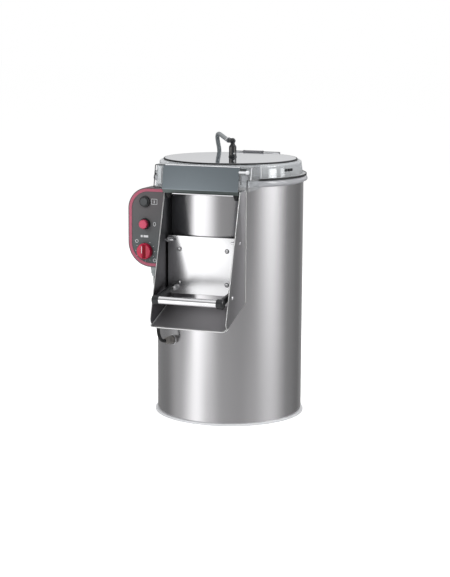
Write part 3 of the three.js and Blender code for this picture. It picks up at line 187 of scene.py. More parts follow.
# A coat of bonded grit: sharp cells for the grains, darker between them
def grit(name, dark, pale, grain):
    made, tree, place = newMaterial(name)
    grains = addNode(tree, "TexVoronoi", {"Scale": 1 / (grain * mm)}, {"Vector": place})
    tone = addNode(tree, "Mix", {"data_type": "RGBA", 6: linear(pale), 7: linear(dark)}, {0: grains})
    bump = addNode(tree, "Bump", {"Strength": 0.8, "Distance": grain * mm * 0.5, "invert": True},
                   {"Height": grains})
    skin = addNode(tree, "BsdfPrincipled", {"Roughness": 0.85}, {"Base Color": tone, "Normal": bump})
    addNode(tree, "OutputMaterial", {}, {"Surface": skin})
    return made


# Each finish is named for what it is: dark and pale tone, roughness from and to, texture, bump, then "upward"
# and "inside"
opaques = {
    # stainless sheet rolled round and brushed round its axis: soft upright bands of light, no sharp mirror
    "brushedStainless": ("#c8c7c9", "#cecdcf", (0.19, 0.23), (6, 6, 900), 0.03),
    # stainless plate ground to an even satin: it blurs what it mirrors
    "groundStainless": ("#dededf", "#e6e6e8", (0.22, 0.28), (300, 300, 8), 0.008),
    # the lid's disc, mirror-bright with a fine turned line
    "lidStainless": ("#c6c9cf", "#cfd2d8", (0.05, 0.09), (14, 14, 600), 0.015),
    # folded stainless sheet with a satin face; its inner side has painted shade, darker higher up
    "foldedStainless": ("#989799", "#a1a0a3", (0.34, 0.44), (40, 40, 500), 0.05, None,
                        (104.4, "#7c7b7e", 455, 525, "#58595c")),
    # the tray of the chute, paler than the cheeks
    "trayStainless": ("#aaa8ab", "#b3b1b4", (0.50, 0.58), (40, 500, 40), 0.04),
    # the hood's plate, satin with a green-grey cast, with painted shade on its return below the fold
    "hoodStainless": ("#69716f", "#717978", (0.30, 0.38), (8, 60, 700), 0.04, (635.4, 637.4, "#8d969c")),
    # bright turned and plated fasteners, pins and tubes
    "brightSteel": ("#dedee0", "#ececee", (0.08, 0.14), (200, 200, 200), 0.02),
    # sheared and rolled edges of the sheets, painted paler than the sheets as a painted highlight
    "sheetEdge": ("#e6e7e6", "#f0f1f0", (0.34, 0.42), (200, 200, 200), 0.02),
    # zinc-plated hinge parts, mid grey
    "zincSteel": ("#86868a", "#929296", (0.32, 0.42), (200, 200, 200), 0.05),
    # machined grey iron castings: dark, dull, a little mottled
    "greyIron": ("#5a5c5e", "#74767a", (0.45, 0.6), (120, 120, 120), 0.25),
    # turned brass of the inlet valve
    "turnedBrass": ("#b8944f", "#cba862", (0.22, 0.32), (60, 60, 500), 0.06),
    # pale moulded ABS, smooth with a slight sheen
    "paleAbs": ("#d9dadd", "#e3e4e6", (0.28, 0.36), 1.2, 0.05),
    # light grey moulded ABS of the rim, glossier
    "rimAbs": ("#a4a5a9", "#afb0b4", (0.08, 0.12), 1.2, 0.02),
    # black EPDM rubber, matte
    "blackRubber": ("#121314", "#1e1f20", (0.55, 0.7), 0.9, 0.15),
    # black glass-filled nylon, satin, with the soft grain of the mould
    "blackNylon": ("#17191b", "#232527", (0.30, 0.40), 1.0, 0.12),
    # dark grey nylon of the start button
    "charcoalNylon": ("#3a3c3e", "#434648", (0.34, 0.42), 1.0, 0.08),
    # light grey nylon of the gland under the control box
    "lightNylon": ("#8f9495", "#9fa4a5", (0.34, 0.42), 1.0, 0.06),
    # grey nylon of the cable glands
    "greyNylon": ("#65625f", "#73706d", (0.34, 0.44), 1.0, 0.08),
    # dark grey epoxy powder coat of the control box, with its fine orange peel, warmer towards the top
    "greyPowder": ("#485051", "#525a5b", (0.42, 0.5), 1.6, 0.08, (440, 600, "#5a5658")),
    # the printed border of the panel
    "crimsonPrint": ("#a75166", "#b0596e", (0.36, 0.42), 1.0, 0.03),
    # the pale printed marks of the panel
    "greyPrint": ("#cfd2d4", "#dcdee0", (0.4, 0.45), 1.0, 0.03),
    # glossy red moulded nylon of the stop button
    "rosePlastic": ("#bd3a5a", "#c64462", (0.24, 0.3), 1.2, 0.03),
    # glossy deep red moulding of the timer's knob
    "redPlastic": ("#b2113a", "#bd1c44", (0.2, 0.26), 1.2, 0.03),
    # the knob's sloping flank: the knob's red with painted shade
    "deepRedPlastic": ("#98041d", "#a00722", (0.3, 0.36), 1.2, 0.03),
    # grey reinforced PVC hose
    "greyHose": ("#5d6366", "#73797c", (0.3, 0.4), 1.4, 0.08),
    # enamelled motor housing
    "blueEnamel": ("#34506c", "#3f5c79", (0.32, 0.42), 1.5, 0.1),
}
# Tint face on and at the side, body, its share of metal, how fast it turns, roughness and share of gloss, both
# from and to
clears = {
    # clear polycarbonate of the collar
    "clearPolycarbonate": ("#fcfdfd", "#e0e2e5", "#eceef0", 0.14, 2.6, (0.05, 0.09), (0.3, 0.6)),
    # thinner clear polycarbonate of the bay, which shows what is inside
    "clearBay": ("#fdfefe", "#c4c6ca", "#eceef0", 0.2, 2.4, (0.05, 0.09), (0.1, 0.5)),
}
finishes = {name: make(name, *look) for make, table in ((opaque, opaques), (clearMoulding, clears))
            for name, look in table.items()}
# silicon carbide grit bonded to the plate and the liner
finishes["carbideGrit"] = grit("carbideGrit", "#1f1f21", "#4a4a4d", 2.4)
print("finishes made:", len(finishes))


# Surfaces. A part is (points in millimetres, quads, caps): caps are single faces given as lists of points.

def unit(v):
    return np.asarray(v, float) / np.linalg.norm(v)


# Straight lines through (a, b, radius) corners, each corner replaced by an arc that touches both lines:
# centre + radius (cos t, sin t), with t from the first line's tangent to the second's
def roundedLine(corners, steps=5, closed=False):
    points = np.array([corner[:2] for corner in corners], float)
    line = []
    for i, corner in enumerate(corners):
        radius = corner[2] if len(corner) > 2 else 0
        if radius <= 0 or (not closed and i in (0, len(corners) - 1)):
            line.append(points[i][None])
            continue
        arrive, leave = unit(points[i] - points[i - 1]), unit(points[(i + 1) % len(corners)] - points[i])
        turn = math.acos(max(-1, min(1, float(arrive @ leave))))
        side = np.sign(arrive[0] * leave[1] - arrive[1] * leave[0])
        start = points[i] - arrive * radius * math.tan(turn / 2)
        centre = start + side * radius * np.array([-arrive[1], arrive[0]])
        first = math.atan2(*(start - centre)[::-1])
        angles = first + side * np.linspace(0, turn, steps + 1)
        line.append(centre + radius * np.stack([np.cos(angles), np.sin(angles)], 1))
    return np.concatenate(line + ([line[0][:1]] if closed else []))


# Quads between neighbours on a grid of rows x columns points; wrap joins the last row to the first
def gridQuads(rows, columns, wrap=False):
    row = np.arange(rows if wrap else rows - 1)[:, None]
    column = np.arange(columns - 1)[None]
    here, there = row * columns + column, ((row + 1) % rows) * columns + column
    return np.stack([here, there, there + 1, here + 1], -1).reshape(-1, 4)


# P(u, v) = (r(u) cos v, r(u) sin v, z(u))
def roundGrid(r, z, v):
    return np.stack([np.outer(np.cos(v), r), np.outer(np.sin(v), r), np.tile(z, (len(v), 1))], -1)


# A profile of (r, z) turned all round the Z axis
def revolved(profile, steps):
    v = np.radians(360 * np.arange(steps) / steps)
    points = roundGrid(*np.asarray(profile, float).T, v)
    return points.reshape(-1, 3), gridQuads(steps, len(profile), True), []


# Rings of as many points joined by quads, with a cap at either end
def ringed(rings):
    rows, count = rings.shape[:2]
    row, here = np.arange(rows - 1)[:, None] * count, np.arange(count)[None]
    there = (here + 1) % count
    quads = np.stack([row + here, row + there, row + count + there, row + count + here], -1).reshape(-1, 4)
    return rings.reshape(-1, 3), quads, [here[0, ::-1], here[0] + (rows - 1) * count]


# A closed outline carried across its plane, with edges rounded by e: ring t lies at height low + e(1 - cos t)
# or high - e(1 - sin t), and is drawn in along the outline's normals by e(1 - sin t) or e(1 - cos t)
def slab(outline, low, high, across, edge=0.4, steps=3):
    line = np.asarray(outline, float)
    if np.allclose(line[0], line[-1]):
        line = line[:-1]
    area = np.sum(line[:, 0] * np.roll(line[:, 1], -1) - np.roll(line[:, 0], -1) * line[:, 1])
    line = line if area > 0 else line[::-1]
    before, after = line - np.roll(line, 1, 0), np.roll(line, -1, 0) - line
    before /= np.linalg.norm(before, axis=1)[:, None]
    after /= np.linalg.norm(after, axis=1)[:, None]
    outward = np.stack([before[:, 1] + after[:, 1], -before[:, 0] - after[:, 0]], 1)
    outward /= np.maximum(np.sum(outward * outward, 1), 0.2)[:, None] / 2
    t = np.linspace(0, math.pi / 2, steps + 1)
    drawn = np.concatenate([edge * (1 - np.sin(t)), edge * (1 - np.cos(t))])
    level = np.concatenate([low + edge * (1 - np.cos(t)), high - edge * (1 - np.sin(t))])
    rings = line[None] - outward[None] * drawn[:, None, None]
    height = np.broadcast_to(level[:, None], rings.shape[:2])
    order = {"x": (2, 0, 1), "y": (0, 2, 1), "z": (0, 1, 2)}[across]
    return ringed(np.stack([rings[..., 0], rings[..., 1], height], -1)[..., order])


def boxOutline(low, high, radius):
    (a, b), (c, d) = low, high
    return roundedLine([(a, b, radius), (c, b, radius), (c, d, radius), (a, d, radius)], closed=True)


# A block from its low to its high corner, with its corners rounded in plan and its edges rounded
def roundedBox(low, high, radius, across="z", edge=0.8):
    axis = "xyz".index(across)
    a, b = [i for i in range(3) if i != axis]
    outline = boxOutline((low[a], low[b]), (high[a], high[b]), radius)
    return slab(outline, low[axis], high[axis], across, edge)


# P(u, v) = C(u) + r (N(u) cos v + B(u) sin v): a round section carried along a path
def swept(path, radius, sides=24, reference=(0, 0, 1), closedEnds=True):
    path = np.asarray(path, float)
    tangent = np.gradient(path, axis=0)
    tangent /= np.linalg.norm(tangent, axis=1)[:, None]
    side = np.cross(tangent, np.asarray(reference, float))
    side /= np.linalg.norm(side, axis=1)[:, None]
    lift = np.cross(side, tangent)
    v = 2 * np.pi * np.arange(sides + 1) / sides
    ring = side[:, None] * np.cos(v)[None, :, None] + lift[:, None] * np.sin(v)[None, :, None]
    ends = [np.arange(sides)[::-1], np.arange(sides) + (len(path) - 1) * (sides + 1)] if closedEnds else []
    return (path[:, None] + radius * ring).reshape(-1, 3), gridQuads(len(path), sides + 1), ends


# P(u, v) = C + s(v) (L(u) - C) at height z(v): a closed plan line that shrinks towards a centre as it rises
def lofted(plan, centre, levels):
    line = plan[:-1]
    return ringed(np.stack([np.column_stack([centre + share * (line - centre), np.full(len(line), z)])
                            for z, share in levels]))


# The part turned so that its own Z axis runs along a direction, then moved
def laid(part, at, along):
    w = unit(along)
    u = unit(np.cross(w, (0, 1, 0) if abs(w[1]) < 0.9 else (1, 0, 0)))
    return np.asarray(part[0]) @ np.stack([u, np.cross(w, u), w]) + np.asarray(at, float), part[1], part[2]


def moved(part, offset):
    return part[0] + np.asarray(offset, float), part[1], part[2]


# A rounded line of (r, z) corners turned round Z, then moved, or laid along a direction. It is a ring where
# its first corner is off the axis.
def turned(corners, steps, at=(0, 0, 0), along=None):
    part = revolved(roundedLine(corners, closed=corners[0][0] > 0), steps)
    return moved(part, at) if along is None else laid(part, at, along)


# The part turned about the vertical through the origin
def turnedAbout(part, degrees):
    c, s = math.cos(math.radians(degrees)), math.sin(math.radians(degrees))
    return part[0] @ np.array([[c, s, 0], [-s, c, 0], [0, 0, 1]]), part[1], part[2]


def otherSide(part):
    return part[0] * np.array([-1, 1, 1]), part[1][:, ::-1], [cap[::-1] for cap in part[2]]


def bothSides(*parts):
    return [*parts, *(otherSide(part) for part in parts)]


# Puts a part or a list of parts into one mesh, closes its seams, gives a sheet its wall, and marks edges
# sharper than 35 degrees. The piece rides a body and replaces a node or a list of nodes.
def addPiece(name, parts, finish, replaces=(), body="machine", sheet=0.0):
    points, faces, start = [], [], 0
    for part in [parts] if isinstance(parts, tuple) else parts:
        points.append(part[0])
        faces += (part[1] + start).tolist() + [(np.asarray(cap) + start).tolist() for cap in part[2]]
        start += len(part[0])
    mesh = bpy.data.meshes.new(name)
    mesh.from_pydata((np.concatenate(points) * mm).tolist(), [], faces)
    work = bmesh.new()
    work.from_mesh(mesh)
    bmesh.ops.remove_doubles(work, verts=work.verts, dist=2e-6)
    if not sheet:
        bmesh.ops.recalc_face_normals(work, faces=work.faces)
    work.to_mesh(mesh)
    work.free()
    made = linked(name, mesh)
    if sheet:
        wall = made.modifiers.new("wall", "SOLIDIFY")
        wall.thickness, wall.offset, wall.use_even_offset = sheet * mm, -1, True
        solid = bpy.data.meshes.new_from_object(made.evaluated_get(bpy.context.evaluated_depsgraph_get()))
        made.modifiers.clear()
        made.data = solid
        solid.name = name
    made.data.materials.clear()
    made.data.materials.append(finishes[finish])
    made.data.shade_smooth()
    made.data.set_sharp_from_angle(angle=math.radians(35))
    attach(made, body)
    if isinstance(replaces, str):
        replaces = [replaces]
    if replaces:
        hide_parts(*replaces)
    return made


# Centripetal Catmull-Rom through the route's points: knots spaced by the square root of each chord, and each
# stretch blended from its four nearest points by repeated straight mixing
def roundRoute(route, spacing=4.0):
    p = np.asarray(route, float)
    p = np.concatenate([[2 * p[0] - p[1]], p, [2 * p[-1] - p[-2]]])
    line = []
    for i in range(1, len(p) - 2):
        four = p[i - 1:i + 3]
        knots = np.concatenate([[0], np.cumsum(np.linalg.norm(np.diff(four, axis=0), axis=1) ** 0.5)])
        count = max(2, int(np.linalg.norm(four[2] - four[1]) / spacing))
        t = np.linspace(knots[1], knots[2], count, endpoint=False)[:, None]

        def between(a, b, first, last):
            return ((knots[last] - t) * a + (t - knots[first]) * b) / (knots[last] - knots[first])

        a1, a2, a3 = (between(four[j], four[j + 1], j, j + 1) for j in range(3))
        b1, b2 = between(a1, a2, 0, 2), between(a2, a3, 1, 3)
        line.append(between(b1, b2, 1, 2))
    return np.concatenate([*line, p[-2:-1]])


# Control cable and water hose
cable = {"radius": 4.5, "route": [
    (-155, -167, 391.3), (-155, -167, 384), (-154.5, -167.6, 372), (-152, -171.5, 354), (-146.5, -180, 330),
    (-140, -190, 303), (-134.5, -197.8, 276), (-131.6, -201.9, 255), (-129.6, -203.6, 242),
    (-126.3, -204.8, 232.5), (-121.9, -203.9, 225), (-118.1, -200.5, 221.6), (-114.55, -194.47, 221)]}
hose = {"radius": 6, "bendFrom": 694, "bendTo": 744, "route": [
    (-15.8, 34.85, 748.2), (-20.95, 40.95, 748.2), (-26, 47.3, 748.4), (-37, 65, 749.4), (-53, 92, 751.1),
    (-70.5, 123, 752.8), (-86.5, 151.5, 754.3), (-97, 168.5, 754.9), (-103.5, 177, 752.6), (-107, 182.3, 746),
    (-107.8, 186.2, 737), (-106.8, 189.2, 725), (-105.3, 191.6, 712), (-104.6, 192.4, 700),
    (-104.5, 192.5, 685), (-104.5, 192.5, 650), (-104.5, 192.5, 606.2)]}


def makeCords():
    path = roundRoute(cable["route"])
    made = addPiece("cable_sleeve", swept(path, cable["radius"], 20, (1, 0.3, 0)), "blackRubber",
                    "control_cable")
    path = roundRoute(hose["route"])
    made = addPiece("hose_tube", swept(path, hose["radius"], 28, (1, 0.35, 0)), "greyHose")
    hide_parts("water_hose")
    made.parent = None
    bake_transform(made)


makeCords()
print("cable and hose made")

# Profiles below are corners of (radius, height, rounding)
alongX, towardsFront = (1, 0, 0), (0, -1, 0)

# Base, casing and the ring on its edge
casing = {"radius": 200, "wall": 1.2, "bottom": 6.3, "windowBottom": 360.9, "windowTop": 487.1, "top": 641.7,
          "windowHalf": 85.4, "columns": (57, 256)}
base = {"radius": 206, "height": 6, "spigot": 16, "spigotOuter": 198.4, "spigotInner": 194.6}
rim = {"skirt": 625.7, "skirtInner": 186.3, "skirtOuter": 198.5, "seat": 642, "foot": 201.5, "bead": 647.2,
       "beadTop": 652.4, "radius": 211, "topRadius": 208, "top": 659}
gasket = {"inner": 189, "outer": 208.4, "lip": 207.3, "bottom": 659.3, "top": 660.9, "lipTop": 664.8}


# P(u, v) = (R cos v, R sin v, z): a round wall whose columns meet the sides of an opening at the front, its
# cells, and which of them are kept round the opening in its second row
def roundWall(radius, levels, windowHalf, columns):
    half = math.asin(windowHalf / radius)
    front = np.linspace(-math.pi / 2 - half, -math.pi / 2 + half, columns[0])
    rear = np.linspace(-math.pi / 2 + half, 1.5 * math.pi - half, columns[1])[1:-1]
    v, count = np.concatenate([front, rear]), len(levels)
    quads = gridQuads(len(v), count, True).reshape(len(v), count - 1, 4)
    keep = np.ones(quads.shape[:2], bool)
    keep[:columns[0] - 1, 1] = False
    return roundGrid(np.full(count, radius), levels, v).reshape(-1, 3), quads, keep


def makeCasing():
    levels = [casing[name] for name in ("bottom", "windowBottom", "windowTop", "top")]
    points, cells, keep = roundWall(casing["radius"], levels, casing["windowHalf"], casing["columns"])
    addPiece("casing_wall", (points, cells[keep], []), "brushedStainless", "casing", sheet=casing["wall"])
    radius, height, top, outer, inner = base.values()
    foot = [(0, 0), (radius, 0, 1.2), (radius, height, 0.8), (outer, height), (outer, top), (inner, top),
            (inner, height), (0, height)]
    addPiece("base_ring", turned(foot, 192), "paleAbs", "base_plate")
    skirt, inner, outer, seat, foot, bead, beadTop, radius, topRadius, top = rim.values()
    ring = [(inner, skirt), (outer, skirt), (outer, seat), (foot, seat, 0.8), (radius, bead, 2.5),
            (radius - 0.2, beadTop, 8), (topRadius + 0.6, top - 1.8, 3), (topRadius - 1.6, top, 1.2),
            (inner, top, 0.5)]
    addPiece("rim_bead", turned(ring, 192), "rimAbs", "rim_ring")
    inner, outer, lip, bottom, top, lipTop = gasket.values()
    seal = [(inner, bottom, 0.6), (outer, bottom, 0.8), (outer, lipTop, 0.5), (lip, lipTop, 0.3), (lip, top),
            (inner, top, 0.6)]
    addPiece("rim_seal", turned(seal, 160), "blackRubber", "rim_gasket")


makeCasing()
print("casing, base and rim made")

# Clear collar: round wall with foot flange, crown and shelf, the bay at the front, and what is in it
collar = {"bottom": 661.2, "flange": 207, "flangeTop": 664.2, "foot": 198.5, "shoulder": 194.5, "bend": 688.2,
          "rise": 695.2, "crown": 187.5, "top": 700.2, "recess": 183.5, "shelf": 698.7, "mouth": 168,
          "wall": 2.2}
bay = {"left": -128, "right": 137, "front": -230, "corner": 8, "bottom": 638, "top": 700.2, "wall": 2.2,
       "lowFront": -234, "highFront": -223.1, "leaning": -200, "meet": -148, "inner": 190, "margin": 3,
       "seam": 1.3}
bayPin = {"y": -228.4, "clip": -218, "strap": -230.6, "z": 687, "from": 106, "to": 133, "radius": 3,
          "head": 5.2, "headLength": 7}
bayLightPanel = ((-125.5, -219, 648), (-114.5, -208, 694))
plugs = {"places": ((183.8, -71.6), (187.6, -61), (190.8, -50.2)), "z": 682, "radius": 3.6, "height": 6}


def makeCollar():
    (bottom, flange, flangeTop, foot, shoulder, bend, rise, crown, top, recess, shelf, mouth,
     wall) = collar.values()
    outside = roundedLine([
        (flange, bottom), (flange, flangeTop, 1), (foot, flangeTop, 1.2), (shoulder, bend, 5),
        (shoulder, rise, 3), (crown, top, 2.2), (recess, top, 1.2), (recess, shelf, 0.8), (mouth, shelf)])
    points, quads, caps = revolved(outside, 240)
    x, y, z = points[quads].mean(1).T
    left, right, front, corner = bay["left"], bay["right"], bay["front"], bay["corner"]
    inBay = (x > left + bay["margin"]) & (x < right - bay["margin"]) & (y < 0)
    inBay &= (z < rise) & (np.hypot(x, y) > crown)
    addPiece("collar_wall", (points, quads[~inBay], caps), "clearPolycarbonate", "collar", sheet=wall)

    # bay: a plan line (side, corner, front, corner, side) carried up while its front leans back
    meet, top, bottom = bay["meet"], bay["top"], bay["bottom"]
    plan = roundedLine([(right, meet), (right, front, corner), (left, front, corner), (left, meet)], 6)
    z = np.linspace(bottom, top, 8)
    lean = np.interp(z, (bottom, top), (bay["lowFront"], bay["highFront"])) - front
    y = plan[:, 1:] + (plan[:, 1:] < bay["leaning"]) * lean
    points = np.stack([np.broadcast_to(plan[:, :1], y.shape), y, np.broadcast_to(z, y.shape)], -1)
    around = (points.reshape(-1, 3), gridQuads(*y.shape)[:, ::-1], [])
    # roof: between the bay's top line and the shelf's circle, matched by share along each line
    turn = np.linspace(math.atan2(meet, right), math.atan2(meet, left), len(plan))
    inner = np.stack([bay["inner"] * np.cos(turn), bay["inner"] * np.sin(turn), np.full(len(turn), top)], 1)
    roof = (np.stack([points[:, -1], inner], 1).reshape(-1, 3), gridQuads(len(plan), 2)[:, ::-1], [])
    addPiece("collar_bay", [around, roof], "clearBay", sheet=bay["wall"])

    y, clip, strap, z, start, end, radius, head, headLength = bayPin.values()
    neck = end - headLength
    bar = [(0, start), (radius, start, 0.8), (radius, neck), (head, neck, 0.8), (head, end, 0.8), (0, end)]
    addPiece("bay_pins", turned(bar, 24, (0, y, z), alongX), "paleAbs")
    addPiece("bay_clips", roundedBox((107, clip - 4, 661), (129, clip + 4, 680), 4, "y"), "zincSteel")
    addPiece("bay_strap", [roundedBox((128.4, strap - 1.6, 636), (130.6, strap + 1.6, 668), 0.6, "x", 0.3),
                           roundedBox((108, y - 1.6, 691.6), (127, y + 3, 696), 1, "y"),
                           roundedBox((106.6, clip - 3, 654), (108.8, clip + 3, 682), 0.6, "x", 0.3)],
             "blackNylon")
    # a pale panel behind the bay's left end, which paints the white light seen through it
    addPiece("bay_insert", roundedBox(*bayLightPanel, 2), "paleAbs")
    # edges of the bay as beads of painted light: pale ones up its right corner, where it meets the round wall
    # and along its top, are painted highlights; dark ones up and along its left side are painted shade
    high, low, fore, lean = top - 1.6, bottom + 2, bay["highFront"] + 2, bay["lowFront"] + 2
    pale = [((right + 0.6, fore - 5, 668), (right + 0.6, fore + 2, high)),
            ((right + 1, -146.6, 665), (right + 1, -146.6, high - 2)),
            ((-100, fore - 1.6, high + 0.8), (106, fore - 1.6, high + 0.8))]
    side, ahead = left - 1.2, fore - 3.4
    dark = [((side, lean - 2.4, low), (side, ahead + 2, high)), ((side + 2, ahead, high), (-103, ahead, high)),
            ((side + 2, lean - 3.4, low), (-107, lean - 3.4, low))]
    for name, lines, finish in (("bay_edges_right", pale, "paleAbs"), ("bay_edges_left", dark, "blackNylon")):
        addPiece(name, [swept(np.linspace(*line, 5), bay["seam"], 12, (0.3, 1, 0.2)) for line in lines], finish)
    radius, half = plugs["radius"], plugs["height"] / 2
    knob = [(0, -half), (radius, -half, 1), (radius, half, 1), (0, half)]
    spots = [turned(knob, 24, (x, y, plugs["z"]), (x, y, 0)) for x, y in plugs["places"]]
    addPiece("collar_plugs", spots, "blackRubber")


makeCollar()
print("collar made")

# Lid, its seal, hinge and water fitting
lid = {"radius": 180, "hole": 5, "ring": 2, "back": 16, "bottom": 701.3, "top": 704.3, "seal": 182.4}
hinge = {"y": 189, "z": 706.2, "rod": 1.1, "left": -62, "right": 80, "post": 3, "foot": 664.5, "bore": 1.8,
         "knuckle": 2.85, "half": 30, "cap": 3.3, "leaf": 174,
         "rivets": ((-22, 178.5, 0), (0, 178.5, 0), (22, 178.5, 0))}
elbow = {"bottom": 704.6, "flange": 11.4, "flangeTop": 707.2, "half": 8.6, "corner": 2.8, "shoulder": 733.2,
         "neck": 739.2, "neckShare": 0.58, "axis": 748.2, "ball": 7.8, "collar": 7.2, "spigot": 5.4,
         "length": 24, "turn": 40}
clamp = {"inner": 6.4, "outer": 7.8, "from": 28, "to": 36}


def makeLid():
    # disc: turned about its own axis, while its rings drift back to the water hole's centre
    # extra rings beside its rounded edges keep its faces flat
    radius, hole, ring, back, bottom, top, outer = lid.values()
    disc = turned([(hole, bottom, 0.5), (hole + ring, bottom), (radius - ring, bottom), (radius, bottom, 0.8),
                   (radius, top, 1), (radius - ring, top), (hole + ring, top), (hole, top, 0.5)], 192)
    disc[0][:, 1] += back * (radius - np.hypot(disc[0][:, 0], disc[0][:, 1])) / (radius - hole)
    addPiece("lid_plate", disc, "lidStainless", "lid_disc", "lid")
    seal = [(170, 699.1, 0.5), (177, 699.1), (outer, 699.3, 1.2), (outer, 704, 1.2), (180.2, 704.2, 0.4),
            (180.2, 701), (170, 701, 0.5)]
    addPiece("lid_seal", turned(seal, 192), "blackRubber", "lid_gasket", "lid")

    y, z, rod, left, right, post, foot, bore, knuckle, half, cap, leaf, rivets = hinge.values()
    rod = turned([(0, left), (rod, left, 0.5), (rod, right, 0.5), (0, right)], 20, (0, y, z), alongX)
    posts = [roundedBox((x, y - post / 2, foot), (x + post, y + post / 2, z + 0.8), 1, "z", 0.5)
             for x in (left, right - post)]
    addPiece("lid_hinge_rod", [rod, *posts], "zincSteel", "hinge_rod")
    webs = [roundedBox((start, y - 0.5, 700.6), (end, y + 0.5, 705.6), 0.8, "y", 0.2)
            for start, end in ((left + 3, -half - 3), (half + 3, right - 3))]
    addPiece("lid_hinge_web", webs, "paleAbs")
    barrel = [(bore, -half, 0.3), (cap, -half, 0.5), (cap, 4 - half), (knuckle, 4 - half), (knuckle, half - 4),
              (cap, half - 4), (cap, half, 0.5), (bore, half, 0.3)]
    dome = [(0, 705.8), (2.6, 705.8), (2.2, 707, 0.8), (0, 707.2)]
    rivets = [turned(dome, 20, place) for place in rivets]
    leaf = roundedBox((-half, leaf, 704.6), (half, y - 0.6, 706), 2)
    addPiece("lid_hinge_leaf", [turned(barrel, 24, (0, y, z), alongX), leaf, *rivets], "zincSteel",
             "hinge_leaf", "lid")

    # fitting: round flange, a rounded square block that tapers to the neck, a ball and the hose spigot
    (bottom, radius, top, side, corner, shoulder, neck, share, axis, ball, thick, thin, length,
     turn) = elbow.values()
    spot, foot, hub = np.array([0, back]), (0, back, 0), (0, back, axis)
    flange = turned([(0, bottom), (radius, bottom, 0.6), (radius, top, 0.8), (0, top)], 48, foot)
    block = lofted(boxOutline(spot - side, spot + side, corner), spot, [
        (top - 0.5, 1), (shoulder - 0.8, 1), (shoulder, 0.97), (neck, share), (axis, share)])
    t = np.linspace(-np.pi / 2, np.pi / 2, 17)
    sphere = moved(revolved(np.stack([ball * np.cos(t), ball * np.sin(t)], 1), 40), hub)
    away = (-math.sin(math.radians(turn)), math.cos(math.radians(turn)), 0)
    spigot = turned([(0, 0), (thick, 0), (thick, 10, 0.8), (thin, 11.5, 0.8), (thin, length, 0.6), (0, length)],
                    32, hub, away)
    addPiece("water_elbow", [flange, block, sphere, spigot], "blackNylon", "air_break", "lid")
    # pale grey strips on the block's front and its corner, painted highlights of its edges, and the adjusting
    # screw on the corner
    front = back - side
    ribs = [roundedBox((-3.6, front - 0.7, 709), (-0.6, front + 0.6, 732), 0.6),
            roundedBox((side - 1.5, front - 0.2, 709), (side + 0.5, front + 1.2, 732), 0.5)]
    addPiece("elbow_ribs", ribs, "greyNylon", body="lid")
    eye = [(0, -1.4), (2.6, -1.4, 0.4), (2.4, 0.6, 0.7), (0, 1)]
    eye = turned(eye, 24, (side - 0.6, front + 0.6, 714.5), (1, -1, 0))
    addPiece("elbow_screw", eye, "paleAbs", body="lid")
    inner, outer, start, end = clamp.values()
    band = [(inner, start, 0.4), (outer, start, 0.5), (outer, end, 0.5), (inner, end, 0.4)]
    lug = laid(roundedBox((-2.5, 7.2, start + 0.8), (2.5, 11, end - 0.8), 1), hub, away)
    addPiece("clamp_band", [turned(band, 32, hub, away), lug], "brightSteel", "hose_clamp", "lid")
    cone = [(2.5, 695, 0.3), (5, 695, 0.6), (9, 700.6, 0.6), (9, 701.1, 0.3), (2.5, 701.1)]
    addPiece("spray_cone", turned(cone, 32, foot), "blackNylon", "spray_nozzle", "lid")


makeLid()
print("lid made")

# Chute: cheeks, floor, hood, bumpers, pins and bolts. Side lines are corners of (y, z, rounding).
chute = {"inner": 104, "outer": 106, "rear": -171.2, "floorRear": 334, "lip": (-325, 281, 13),
         "knee": (-228, 600, 12), "top": (-218, 634), "lipBack": (-313, 285.2), "bead": 1.1, "seam": 1.2,
         "lipRadius": 1.5, "joint": (336, 633), "floorHalf": 103.9}
# the tray's front lip turns up into the cheeks at both ends: x, back and up
turnUp = [(103.6, 3.4, 6.4), (102.9, 1.8, 3.2), (100.8, 0.5, 0.9), (96, 0, 0)]
hood = {"high": (-225, 698), "low": (-236, 636.5), "back": (-228, 626), "sheet": 1.5, "half": 106,
        "hem": ((-78, -230.2, 625.4), (92, -230.2, 625.4)), "hemRadius": 2}
bumper = {"at": (95.2, -216, 0), "low": 612, "wide": 624, "high": 633, "radius": 8.5, "tip": 5}
pin = {"at": (0, -218, 500), "profile": [
    (0, 81), (2.6, 81, 0.8), (2.6, 93), (4.2, 93, 0.3), (4.2, 94.4, 0.3), (2.6, 94.4), (2.6, 106.2),
    (3.8, 106.2), (3.4, 107.6, 0.8), (1.6, 108.2, 0.6), (0, 108.2)]}
bolt = {"at": (0, -272, 364.6),
        "profile": [(0, 105.9), (4.6, 105.9), (4.2, 107.6, 0.9), (2, 108.6, 0.8), (0, 108.6)]}


